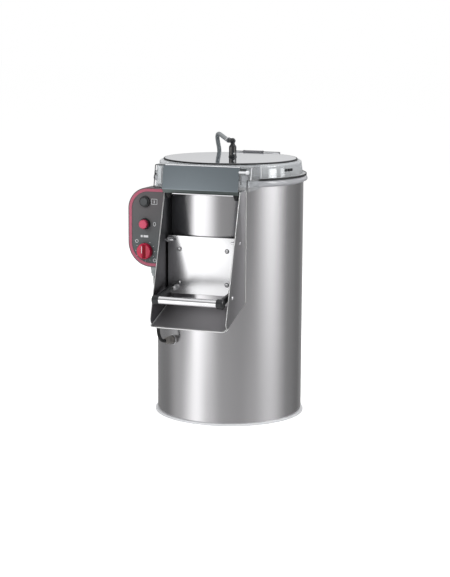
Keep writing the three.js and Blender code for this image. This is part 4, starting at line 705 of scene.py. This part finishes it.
def makeChute():
    rear, lip = chute["rear"], chute["lip"]
    cheek = roundedLine([(rear, chute["top"][1]), (*chute["top"], 1), chute["knee"], lip,
                         (rear, chute["floorRear"])], closed=True)
    cheek = slab(cheek, chute["inner"], chute["outer"], "x", 0.7)
    # rolled front edge of each cheek, and the bead where it meets the casing
    front = roundedLine([chute["top"], chute["knee"], lip, chute["lipBack"]])
    middle = np.full(len(front), (chute["inner"] + chute["outer"]) / 2)
    edge = swept(np.column_stack([middle, front]), chute["bead"], 12, alongX)
    joint = [(chute["outer"] + 0.2, rear - 0.6, z) for z in np.linspace(*chute["joint"], 12)]
    addPiece("cheek_edges", bothSides(edge, swept(joint, chute["bead"], 12, alongX)), "sheetEdge")
    rise = (chute["floorRear"] - lip[1]) / (rear - lip[0])
    ends = [(y, lip[1] + (y - lip[0]) * rise) for y in (lip[0] + 6, rear - 29)]
    floor = roundedLine([*ends, *((y, z + 2) for y, z in ends[::-1])], closed=True)
    addPiece("chute_tray", slab(floor, -chute["floorHalf"], chute["floorHalf"], "x", 0.5), "trayStainless",
             "chute_floor")
    # seams along the tray's sides and its turned-up front lip, pale as a painted highlight
    seam = [(chute["inner"] - 0.9, y, z + 2.6) for y, z in np.linspace(*ends, 8)]
    seam = swept(seam, chute["seam"], 12, alongX)
    line = [(x * way, ends[0][0] - 2.2 + back, ends[0][1] - 0.2 + up)
            for way, corners in ((-1, turnUp), (1, turnUp[::-1])) for x, back, up in corners]
    addPiece("tray_seams", [*bothSides(seam), swept(line, chute["lipRadius"], 12)], "sheetEdge")
    (highY, high), (lowY, low), (backY, back), sheet = (hood[name] for name in ("high", "low", "back", "sheet"))
    plate = roundedLine([(highY, high), (lowY, low, 3), (backY, back), (backY + sheet, back),
                         (lowY + sheet, low, 1.5), (highY + sheet, high)], closed=True)
    addPiece("hood_cover", slab(plate, -hood["half"], hood["half"], "x", 0.4), "hoodStainless", "hood_plate")
    addPiece("hood_hem", swept(np.linspace(*hood["hem"], 6), hood["hemRadius"], 16), "brightSteel")
    at, low, wide, high, radius, tip = bumper.values()
    stop = turned([(0, low), (tip, low, 1.5), (radius, wide, 3), (radius, high, 0.8), (0, high)], 40, at)
    shaft = turned(pin["profile"], 32, pin["at"], alongX)
    for name, part, finish, node in (("cheek_plate_", cheek, "foldedStainless", "chute_cheek_"),
                                     ("bumper_", stop, "blackRubber", "rubber_bumper_"),
                                     ("pivot_pin_", shaft, "brightSteel", "door_pivot_pin_")):
        addPiece(name + "right", part, finish, node + "right")
        addPiece(name + "left", otherSide(part), finish, node + "left")
    addPiece("cheek_bolts", bothSides(turned(bolt["profile"], 28, bolt["at"], alongX)), "brightSteel")


makeChute()
print("chute made")

# Door with its ears, lugs, gasket and screws, and the bail handle
door = {"half": 100, "front": -208, "back": -206, "low": 356, "high": 511}
ear = {"radius": 5, "inner": 98, "outer": 100, "y": -218, "z": 500}
lug = {"inner": 78, "outer": 81, "y": -216, "z": 371, "radius": 6.5}
screw = {"x": 67, "z": (386, 476), "radius": 4.6, "rise": 2.2}
# the arm's outline: which end each corner is measured from, how far along the arm and across it, and rounding
bail = {"arm": (84.5, 94.5), "grip": (0, -316, 355), "drum": 13, "drumIn": 80, "drumOut": 99, "tube": 11,
        "bore": 9.5, "tubeHalf": 91.7,
        "line": [("lug", -6.5, 6.3, 5.8), ("lug", -6.5, -6.3, 5.8), ("lug", 30, -6.5, 20),
                 ("grip", -4, -9.5, 3), ("grip", -4, 9.5, 3), ("lug", 30, 6.5, 20)]}


def makeDoor():
    half, front, back, low, high = door.values()
    leaf = roundedBox((-half, front, low), (half, back, high), 2.5, "y", 0.6)
    tabs = []
    for piece, rounding, edge in ((ear, 7, 0.4), (lug, 5.8, 0.5)):
        y, z, radius = piece["y"], piece["z"], piece["radius"]
        outline = roundedLine([(back, z - radius), (back, z + radius), (y - radius, z + radius, rounding),
                               (y - radius, z - radius, rounding)], closed=True)
        tabs.append(slab(outline, piece["inner"], piece["outer"], "x", edge))
    pivot = [(0, 75), (4.4, 75, 1.2), (5, 77.2, 0.5), (5, 79), (3, 79), (3, 93), (0, 93)]
    stud = turned(pivot, 28, (0, lug["y"], lug["z"]), alongX)
    addPiece("door_leaf", [leaf, *bothSides(*tabs, stud)], "groundStainless", "door_plate", "door")
    addPiece("door_seal", roundedBox((-93, -205.7, 359), (93, -201.3, 494), 4, "y", 1.2), "blackRubber",
             "door_gasket", "door")
    radius, rise = screw["radius"], screw["rise"]
    cup = [(0, 0), (radius, 0), (radius, 0.6, 0.3), (3.6, rise, 1.2), (0, rise + 0.3)]
    places = [(x, z) for x in (-screw["x"], screw["x"]) for z in screw["z"]]
    heads = [turned(cup, 32, (x, front, z), towardsFront) for x, z in places]
    backing = roundedBox((-78, -201, 368), (78, -198.8, 480), 5, "y", 0.7)
    addPiece("door_screws", [backing, *heads], "brightSteel", "door_backing", "door")
    # black washers under the heads, and black crosses on the heads, painted shade in place of recessed slots
    washer = [(4.7, 0), (6.1, 0), (6, 0.7, 0.3), (4.7, 0.9)]
    dark = [turned(washer, 32, (x, front - 0.05, z), towardsFront) for x, z in places]
    face = front - rise
    dark += [roundedBox((x - a, face - 0.42, z - b), (x + a, face + 0.5, z + b), 0.3, "y", 0.1)
             for x, z in places for a, b in ((3.2, 0.6), (0.6, 3.2))]
    addPiece("screw_washers", dark, "blackNylon", body="door")


def makeBail():
    spots = {"lug": np.array([lug["y"], lug["z"]]), "grip": np.array(bail["grip"][1:])}
    along = unit(spots["grip"] - spots["lug"])
    side = np.array([-along[1], along[0]])
    corners = [(*(spots[spot] + along * step + side * width), radius)
               for spot, step, width, radius in bail["line"]]
    arm = slab(roundedLine(corners, closed=True), *bail["arm"], "x", 1.6)
    radius, start, end = bail["drum"], bail["drumIn"], bail["drumOut"]
    drum = [(0, start), (radius - 0.8, start, 0.6), (radius, start + 2, 1), (radius, end - 3, 2.5),
            (radius - 3, end, 2.5), (0, end)]
    pieces = [arm, turned(drum, 56, bail["grip"], alongX)]
    addPiece("bail_side_right", pieces, "blackNylon", "bail_arm_right", "bail")
    addPiece("bail_side_left", [otherSide(part) for part in pieces], "blackNylon", "bail_arm_left", "bail")
    radius, bore, half = bail["tube"], bail["bore"], bail["tubeHalf"]
    tube = turned([(bore, -half), (radius, -half), (radius, half), (bore, half)], 56, bail["grip"], alongX)
    addPiece("bail_tube", tube, "brightSteel", "bail_grip", "bail")


makeDoor()
makeBail()
print("door and bail made")

# Control box, its panel, border, switches, knob and marks
panel = {"left": -227, "right": -110, "bottom": 417, "top": 632, "upper": 58, "lower": 66, "inner": 4,
         "front": -180, "back": -178, "shell": -177.6, "box": -120, "clearance": 0.9}
border = {"inset": 3, "width": 7.5, "thick": 0.8, "behind": 0.3}
controls = {"x": -178, "start": 594, "stop": 533.97, "timer": 460}
bezelBack = [(14.5, 5.4, 1.2), (15.5, 0), (9, 0), (9, -3), (9, -34), (0, -34), (0, 1.4)]
startCap = [(0, 5.6), (11, 5.6), (11, 8.2, 1), (9.4, 9.4, 1), (0, 8.6)]
stopCap = [(0, 5.6), (12, 5.6), (12, 14.9, 1.5), (10.5, 16.9, 1.5), (0, 16.9)]
knob = {"radius": 22, "rise": 13, "half": 5.2, "reach": 19}
marks = {"turns": range(-120, 151, 30), "reach": 27.5, "dot": [(0, 0), (1, 0), (1, 0.25), (0, 0.25)],
         "loop": [(3.4, 0), (4.7, 0), (4.7, 0.25), (3.4, 0.25)],
         "loops": ((-150.5, 534, 0.8), (-202.5, 486, 1), (-150.5, 436, 1)),
         "bar": ((-152.2, -180.25, 590), (-150.2, -180, 598), 0.4, "y", 0.05),
         "square": (((-160, 587), (-142.5, 602), 1.5), ((-159, 588), (-143.5, 601), 1)),
         "dashes": ((-191, -185), (-182.5, -169)), "dashLow": 497, "dashHigh": 503}


def panelOutline(inset):
    left, right = panel["left"] + inset, panel["right"] - inset
    low, high, inner = panel["bottom"] + inset, panel["top"] - inset, max(0.8, panel["inner"] - inset)
    return roundedLine([(left, low, panel["lower"] - inset), (right, low, inner), (right, high, inner),
                        (left, high, panel["upper"] - inset)], 18, closed=True)


# A flat band between two outlines with as many points, carried from low to high along Y
def ringBetween(outer, inner, low, high):
    line = np.stack([outer, inner, inner, outer, outer], 1)
    depth = np.array([low, low, high, high, low])
    points = np.stack([line[..., 0], np.broadcast_to(depth, line.shape[:2]), line[..., 1]], -1)
    return points.reshape(-1, 3), gridQuads(len(outer), 5), []


def makeControls():
    # points of the shell that fall inside the casing's circle are pushed out to it along Y
    face = panel["front"]
    shell = slab(panelOutline(0), panel["shell"], panel["box"], "y", 2)
    body, circle = shell[0], casing["radius"] + panel["clearance"]
    reach = np.sqrt(np.maximum(circle ** 2 - body[:, 0] ** 2, 0))
    body[:, 1] = np.where((np.abs(body[:, 0]) < circle) & (body[:, 1] > -reach), -reach, body[:, 1])
    addPiece("box_shell", shell, "greyPowder", "control_box")
    addPiece("panel_face", slab(panelOutline(0), face, panel["back"], "y", 0.6), "greyPowder", "control_panel")
    outer, inner = panelOutline(border["inset"]), panelOutline(border["inset"] + border["width"])
    trim = ringBetween(outer, inner, face - border["behind"] - border["thick"], face)
    addPiece("panel_border", trim, "crimsonPrint", "panel_trim")
    for name, cap, profile, finish in (("start", 11, startCap, "charcoalNylon"),
                                       ("stop", 12.5, stopCap, "rosePlastic")):
        bezel = [(cap + 0.5, 1.4), (cap + 0.5, 5.4, 0.5), *bezelBack]
        seat = (controls["x"], face - border["behind"], controls[name])
        addPiece(name + "_bezel", turned(bezel, 56, seat, towardsFront), "blackNylon", name + "_switch")
        seat = (controls["x"], face, controls[name])
        addPiece(name + "_cap", turned(profile, 56, seat, towardsFront), finish, name + "_button", name)
    spot = (controls["x"], face, controls["timer"])
    radius, rise, half, reach = knob.values()
    dial = [(0, 1), (radius, 1), (radius, 6, 1.2), (radius - 2.2, rise, 2), (0, rise)]
    grip = laid(roundedBox((-reach, -1, 9), (reach, half, 19), 2.4, "z", 2.4), spot, towardsFront)
    addPiece("timer_dial", [turned(dial, 64, spot, towardsFront), grip], "redPlastic", "timer_knob", "timer")
    # the ridge's right flank, darker red as painted shade
    flank = roundedLine([(1.6, 18.9), (-7, 12.8), (1.6, 12.8)], closed=True)
    flank = slab(flank, 1 - reach, reach - 1, "x", 0.6)
    addPiece("timer_flank", laid(flank, spot, towardsFront), "deepRedPlastic", body="timer")
    # a white line along the ridge's left edge: a pointer mark, and a painted highlight of that edge
    pointer = roundedBox((-4, half - 3.4, 17), (15, half - 1.8, 19.1), 0.6, "z", 0.2)
    addPiece("timer_pointer", laid(pointer, spot, towardsFront), "paleAbs", body="timer")
    signs = []
    for turn in np.radians(marks["turns"]):
        x, z = spot[0] + math.sin(turn) * marks["reach"], spot[2] - math.cos(turn) * marks["reach"]
        signs.append(turned(marks["dot"], 12, (x, face, z), towardsFront))
    for x, z, wide in marks["loops"]:
        ring = turned(marks["loop"], 28, (0, 0, 0), towardsFront)
        signs.append(moved((ring[0] * (wide, 1, 2 - wide), *ring[1:]), (x, face, z)))
    signs.append(roundedBox(*marks["bar"]))
    signs.append(ringBetween(*(boxOutline(*line) for line in marks["square"]), face - 0.25, face))
    low, high = marks["dashLow"], marks["dashHigh"]
    signs += [roundedBox((start, face - 0.3, low), (end, face, high), 1, "y", 0.05)
              for start, end in marks["dashes"]]
    addPiece("panel_marks", signs, "greyPrint")


makeControls()
print("controls made")

# Glands, water valve and drain
gland = {"nut": 12.5, "nutLength": 8, "sleeve": 10.4, "groove": 9.3, "ribs": (9.6, 12.8, 16), "seat": 200.3,
         "foot": 11, "tip": 8, "bore": 5, "length": 25,
         "box": (-155, -167, 416.7), "casing": (149.5, 221), "mains": (-24, 60.3)}
valve = {"turn": 28.5, "low": 559.7, "high": 599.7, "axis": (0, 219, 0), "inner": 200.3, "depth": 33,
         "half": 17, "coilStart": 233.6, "coilEnd": 261.6, "coil": 14}
drain = {"y": 139.5, "z": 245, "top": 300, "bend": 30, "radius": 24, "bore": 22, "end": 289, "sides": 48}


# A nut of six flats and a ribbed sleeve along +Z: r(z) steps over three rounded ribs and in to the tip
def glandParts():
    foot, tip, bore, end = gland["foot"], gland["tip"], gland["bore"], gland["length"]
    line = [(0, 0), (foot, 0), (foot, gland["nutLength"] + 0.4, 0.4)]
    for rise in gland["ribs"]:
        line += [(gland["groove"], rise - 0.8, 0.3), (gland["sleeve"], rise, 0.5),
                 (gland["sleeve"], rise + 1.6, 0.5)]
    turns = np.radians(np.arange(0, 360, 60))
    corners = [(gland["nut"] * math.cos(turn), gland["nut"] * math.sin(turn), 1) for turn in turns]
    nut = slab(roundedLine(corners, closed=True), 0, gland["nutLength"], "z", 0.8)
    line += [(tip, 19, 0.8), (tip, end, 1.4), (bore, end, 0.4), (bore, end - 1), (0, end - 1)]
    return [turned(line, 32), nut]


def makeFittings():
    addPiece("box_gland_nut", [laid(part, gland["box"], (0, 0, -1)) for part in glandParts()], "lightNylon",
             "box_gland")
    washer = [(12.8, -0.1), (14.6, -0.1), (14.4, 1.1, 0.4), (12.8, 1.3, 0.3)]
    for name in ("casing", "mains"):
        turn, z = gland[name]
        away = np.array([-math.sin(math.radians(turn)), math.cos(math.radians(turn)), 0])
        spot = away * gland["seat"] + (0, 0, z)
        addPiece(name + "_gland_nut", [laid(part, spot, away) for part in glandParts()], "greyNylon",
                 name + "_gland")
        addPiece(name + "_gland_washer", turned(washer, 40, spot, away), "brightSteel")
    # valve: a block, a stub for the hose and a threaded inlet below, r(z) = 13 - (1 + cos) / 2
    thread = 13 - 0.5 * (1 + np.cos(np.linspace(0, 14 * np.pi, 85)))
    line = np.stack([thread, np.linspace(540.2, 558, 85)], 1)
    inlet = revolved(np.concatenate([[(0, 539.7), (12, 539.7)], line, [(12, 565), (0, 565)]]), 40)
    half, inner, low, high, axis = (valve[name] for name in ("half", "inner", "low", "high", "axis"))
    stub = turned([(0, 590), (5.4, 590), (5.4, 605.7, 0.8), (0, 605.7)], 40, axis)
    parts = [roundedBox((-half, inner, low), (half, inner + valve["depth"], high), 5, "z", 2), stub,
             moved(inlet, axis)]
    addPiece("valve_body", [turnedAbout(part, valve["turn"]) for part in parts], "turnedBrass", "inlet_valve")
    start, end, radius = valve["coilStart"], valve["coilEnd"], valve["coil"]
    can = [(0, start), (radius, start, 1.5), (radius, end, 2.5), (5, end, 1), (5, end - 2), (0, end - 2)]
    can = turned(can, 40, (0, 0, (low + high) / 2), (0, 1, 0))
    addPiece("valve_coil_can", turnedAbout(can, valve["turn"]), "blackNylon", "valve_coil")
    # drain: down from the pan, a quarter bend and out to the rear, as outer and inner skins joined at both ends
    t = np.linspace(0, np.pi / 2, 17)
    corner = np.stack([np.zeros(17), drain["y"] + drain["bend"] * (1 - np.cos(t)),
                       drain["z"] + drain["bend"] * (1 - np.sin(t))], 1)
    path = np.concatenate([[(0, drain["y"], drain["top"]), (0, drain["y"], drain["top"] - 10)], corner,
                           [(0, 200, drain["z"]), (0, drain["end"], drain["z"])]])
    outer, inner = (swept(path, drain[k], drain["sides"], alongX, False) for k in ("radius", "bore"))
    offset = len(outer[0])
    a = np.arange(drain["sides"])
    edge = [np.stack([a + row, a + 1 + row, a + 1 + offset + row, a + offset + row], 1)
            for row in (0, offset - drain["sides"] - 1)]
    tube = (np.concatenate([outer[0], inner[0]]), np.concatenate([outer[1], inner[1] + offset, *edge]), [])
    addPiece("drain_bend", tube, "paleAbs", ["drain_elbow", "drain_pipe"])


makeFittings()
print("glands, valve and drain made")

# Inside the chamber: the liner, the pan, the plate with its waves and the nut
liner = {"outer": 186, "wall": 4, "bottom": 303.6, "low": 364, "high": 484, "band": 592, "top": 654.7,
         "half": 82, "columns": (41, 150)}
plate = {"radius": 178, "bottom": 338.3, "top": 350.3, "wave": 8, "halfWidth": 34, "hub": 21, "bore": 8,
         "hubFade": 18, "edge": 175, "edgeFade": 6}
nut = [(8, 350.6), (13, 350.6), (13, 357.1, 1), (6, 362.8, 4), (0, 362.8), (0, 357), (8, 357)]
pan = [(30, 300.3), (189.3, 300.3, 5), (189.3, 346.3), (186.4, 346.3), (186.4, 303.3, 2), (33, 303.3, 2),
       (33, 328.3), (30, 328.3)]


def makeChamber():
    levels = [liner[name] for name in ("bottom", "low", "high", "band", "top")]
    points, cells, keep = roundWall(liner["outer"], levels, liner["half"], liner["columns"])
    keep[:, 3] = False
    addPiece("grit_liner", (points, cells[keep], []), "carbideGrit", "abrasive_liner", sheet=liner["wall"])
    # the smooth pale band above the grit, which shows through the collar
    addPiece("liner_band", (points, cells[:, 3], []), "paleAbs", sheet=liner["wall"])
    # plate's top: z = top + wave * cos^2 across two opposite spokes, faded at the hub and the edge
    r = np.concatenate([[plate["bore"]], np.linspace(16, plate["edge"], 54), [177, plate["radius"]]])
    r, v = np.meshgrid(r, np.linspace(0, 2 * np.pi, 181))
    x, y = r * np.cos(v), r * np.sin(v)
    ridge = np.cos(np.clip(np.abs(x) / plate["halfWidth"], 0, 1) * np.pi / 2) ** 2
    fade = np.clip((r - plate["hub"]) / plate["hubFade"], 0, 1)
    fade = fade * np.clip((plate["edge"] - r) / plate["edgeFade"], 0, 1)
    upper = np.stack([x, y, plate["top"] + plate["wave"] * ridge * fade * fade * (3 - 2 * fade)], -1)
    under = np.stack([x, y, np.full_like(r, plate["bottom"])], -1)
    points = np.concatenate([under[:, :1], upper, under[:, ::-1]], 1)
    addPiece("grit_plate", (points.reshape(-1, 3), gridQuads(*points.shape[:2]), []), "carbideGrit",
             "abrasive_plate", "plate_rotor")
    addPiece("plate_nut_dome", turned(nut, 40), "brightSteel", "plate_nut", "plate_rotor")
    addPiece("pan_dish", turned(pan, 128), "brushedStainless", "chamber_pan")


makeChamber()
print("chamber made")

# The rest keeps its own solids, which lie inside or behind; each gets its finish
carriedOver = {
    "foldedStainless": ("deck_plate", "discharge_frame"), "blueEnamel": ("motor_body",),
    "blackNylon": ("timer_body",),
    "greyIron": ("bearing_housing", "plate_pulley", "motor_pulley"),
    "blackRubber": ("shaft_seal", "drive_belt"),
    "brightSteel": ("lower_bearing", "upper_bearing", "drive_shaft", "motor_shaft")}
for finish, nodeNames in carriedOver.items():
    for nodeName in nodeNames:
        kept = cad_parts[nodeName]
        kept.data.materials.clear()
        kept.data.materials.append(finishes[finish])
print("carried over:", sum(len(nodeNames) for nodeNames in carriedOver.values()))


# Studio: a pale floor, lamps, and a light tent that metal and clear plastic mirror
studio = {"worldLight": 0.55, "floor": "#f4f4f4", "floorGlow": 0.5, "floorHalf": 30, "tentRadius": 4000,
          "tentFrom": -4000, "tentTo": 4600, "mid": (-0.8, 0.15), "join": (0.75, 1.05), "aim": (0, 0, 0.35)}
# place and size in metres, power in watts
lamps = {"keyLamp": ((-1.9, -2.6, 2.6), 1.8, 62), "fillLamp": ((2.8, -1.8, 1.9), 1.8, 36),
         "topLamp": ((0.2, 0.9, 3.2), 1.6, 30)}
# How bright the tent's cloth is, by degrees round from the front (-Y) towards +X. Low down and at half height a
# softbox hangs on the left and a weaker one on the right, with faded edges; a dark board stands left of them at
# half height. Above the join two softboxes with hard edges hang on the right. The scale keeps each ramp's
# colours below one.
tentLow = (2.5, "EASE", (
    (-180, 0.35), (-95, 0.25), (-65, 0.6), (-32, 1.6), (-12, 0.8), (10, 0.5), (35, 0.45), (55, 0.55),
    (86, 0.85), (125, 0.3), (155, 0.2), (180, 0.35)))
tentMid = (2.5, "EASE", (
    (-180, 0.35), (-120, 0.3), (-65, 0.5), (-57, 0.15), (-44, 0.15), (-35, 2.2), (-20, 2.0), (5, 0.4),
    (50, 0.3), (86, 1.4), (122, 0.3), (155, 0.2), (180, 0.35)))
tentHigh = (10.0, "LINEAR", (
    (-180, 0.78), (-150, 0.76), (-100, 0.5), (-60, 0.42), (0, 0.42), (50, 0.5), (82, 0.6), (84, 9.0),
    (96, 9.0), (98, 0.6), (105, 0.6), (107, 5.0), (113, 5.0), (115, 0.65), (150, 0.75), (180, 0.78)))


def lamp(name, place, size, power):
    data = bpy.data.lights.new(name, "AREA")
    data.shape, data.size, data.energy = "DISK", size, power
    w = -unit(np.array(studio["aim"]) - place)
    u = unit(np.cross((0, 0, 1), w))
    linked(name, data, u, np.cross(w, u), w, place).visible_glossy = False


# The tent's glow at a height: a closed ramp over the share of a full turn, with a stop for each line
def tentBand(tree, around, scale, blend, table):
    ramp = addNode(tree, "ValToRGB", {}, {0: around})
    ramp.color_ramp.interpolation = blend
    stops = ramp.color_ramp.elements
    for i, (degrees, level) in enumerate(table):
        share = (degrees + 180) / 360
        stop = stops[i] if i < 2 else stops.new(share)
        stop.position = share
        stop.color = (level / scale, level / scale, level / scale, 1)
    return ramp


# One for what the camera sees, straight, mirrored or through clear plastic, and nought for what lights
def seenShare(tree):
    rays = addNode(tree, "LightPath").outputs
    seen = addNode(tree, "Math", {"operation": "MAXIMUM"}, {0: rays["Is Camera Ray"], 1: rays["Is Glossy Ray"]})
    return addNode(tree, "Math", {"operation": "MAXIMUM"}, {0: seen, 1: rays["Is Transmission Ray"]})


def stageWall(name, points, faces, finish):
    mesh = bpy.data.meshes.new(name)
    mesh.from_pydata(points, [], faces)
    mesh.materials.append(finish)
    return linked(name, mesh)


def makeStudio():
    world = bpy.data.worlds.new("studioWorld")
    scene.world = world
    world.use_nodes = True
    tree = world.node_tree
    tree.nodes.clear()
    strength = addNode(tree, "MapRange", {3: studio["worldLight"], 4: 1.0}, {0: seenShare(tree)})
    sky = addNode(tree, "Background", {"Color": (1, 1, 1, 1)}, {"Strength": strength})
    addNode(tree, "OutputWorld", {}, {"Surface": sky})

    # floor: lit as pale board, with a glow that only the camera and clear or bright things see
    made, tree, place = newMaterial("paleFloor")
    glow = addNode(tree, "Math", {"operation": "MULTIPLY", 1: studio["floorGlow"]}, {0: seenShare(tree)})
    shine = addNode(tree, "Emission", {"Color": (1, 1, 1, 1)}, {"Strength": glow})
    board = addNode(tree, "BsdfDiffuse", {"Color": linear(studio["floor"])})
    both = addNode(tree, "AddShader", {}, {0: shine, 1: board})
    addNode(tree, "OutputMaterial", {}, {"Surface": both})
    half = studio["floorHalf"]
    floor = stageWall("studioFloor", [(-half, -half, 0), (half, -half, 0), (half, half, 0), (-half, half, 0)],
                      [(0, 1, 2, 3)], made)
    floor.visible_glossy = False

    # tent: a wide round wall of cloth, seen only in reflections
    made, tree, place = newMaterial("tentCloth")
    split = addNode(tree, "SeparateXYZ", {}, {0: place}).outputs
    back = addNode(tree, "Math", {"operation": "MULTIPLY", 1: -1.0}, {0: split["Y"]})
    turn = addNode(tree, "Math", {"operation": "ARCTAN2"}, {0: split["X"], 1: back})
    around = addNode(tree, "MapRange", {1: -math.pi, 2: math.pi}, {0: turn})
    rise, join = (addNode(tree, "MapRange", {1: start, 2: end}, {0: split["Z"]})
                  for start, end in (studio["mid"], studio["join"]))
    low, mid, high = (tentBand(tree, around, *table) for table in (tentLow, tentMid, tentHigh))
    cloth = addNode(tree, "Mix", {"data_type": "RGBA"}, {0: rise, 6: low, 7: mid})
    below = addNode(tree, "Emission", {"Strength": tentLow[0]}, {"Color": cloth})
    above = addNode(tree, "Emission", {"Strength": tentHigh[0]}, {"Color": high})
    shine = addNode(tree, "MixShader", {}, {0: join, 1: below, 2: above})
    addNode(tree, "OutputMaterial", {}, {"Surface": shine})
    wall = revolved([(studio["tentRadius"], studio["tentFrom"]), (studio["tentRadius"], studio["tentTo"])], 96)
    tent = stageWall("studioTent", (wall[0] * mm).tolist(), wall[1].tolist(), made)
    for ray in ("camera", "diffuse", "transmission", "shadow", "volume_scatter"):
        setattr(tent, "visible_" + ray, False)

    for name, look in lamps.items():
        lamp(name, *look)
    scene.view_settings.view_transform = "Standard"


makeStudio()
print("studio made")
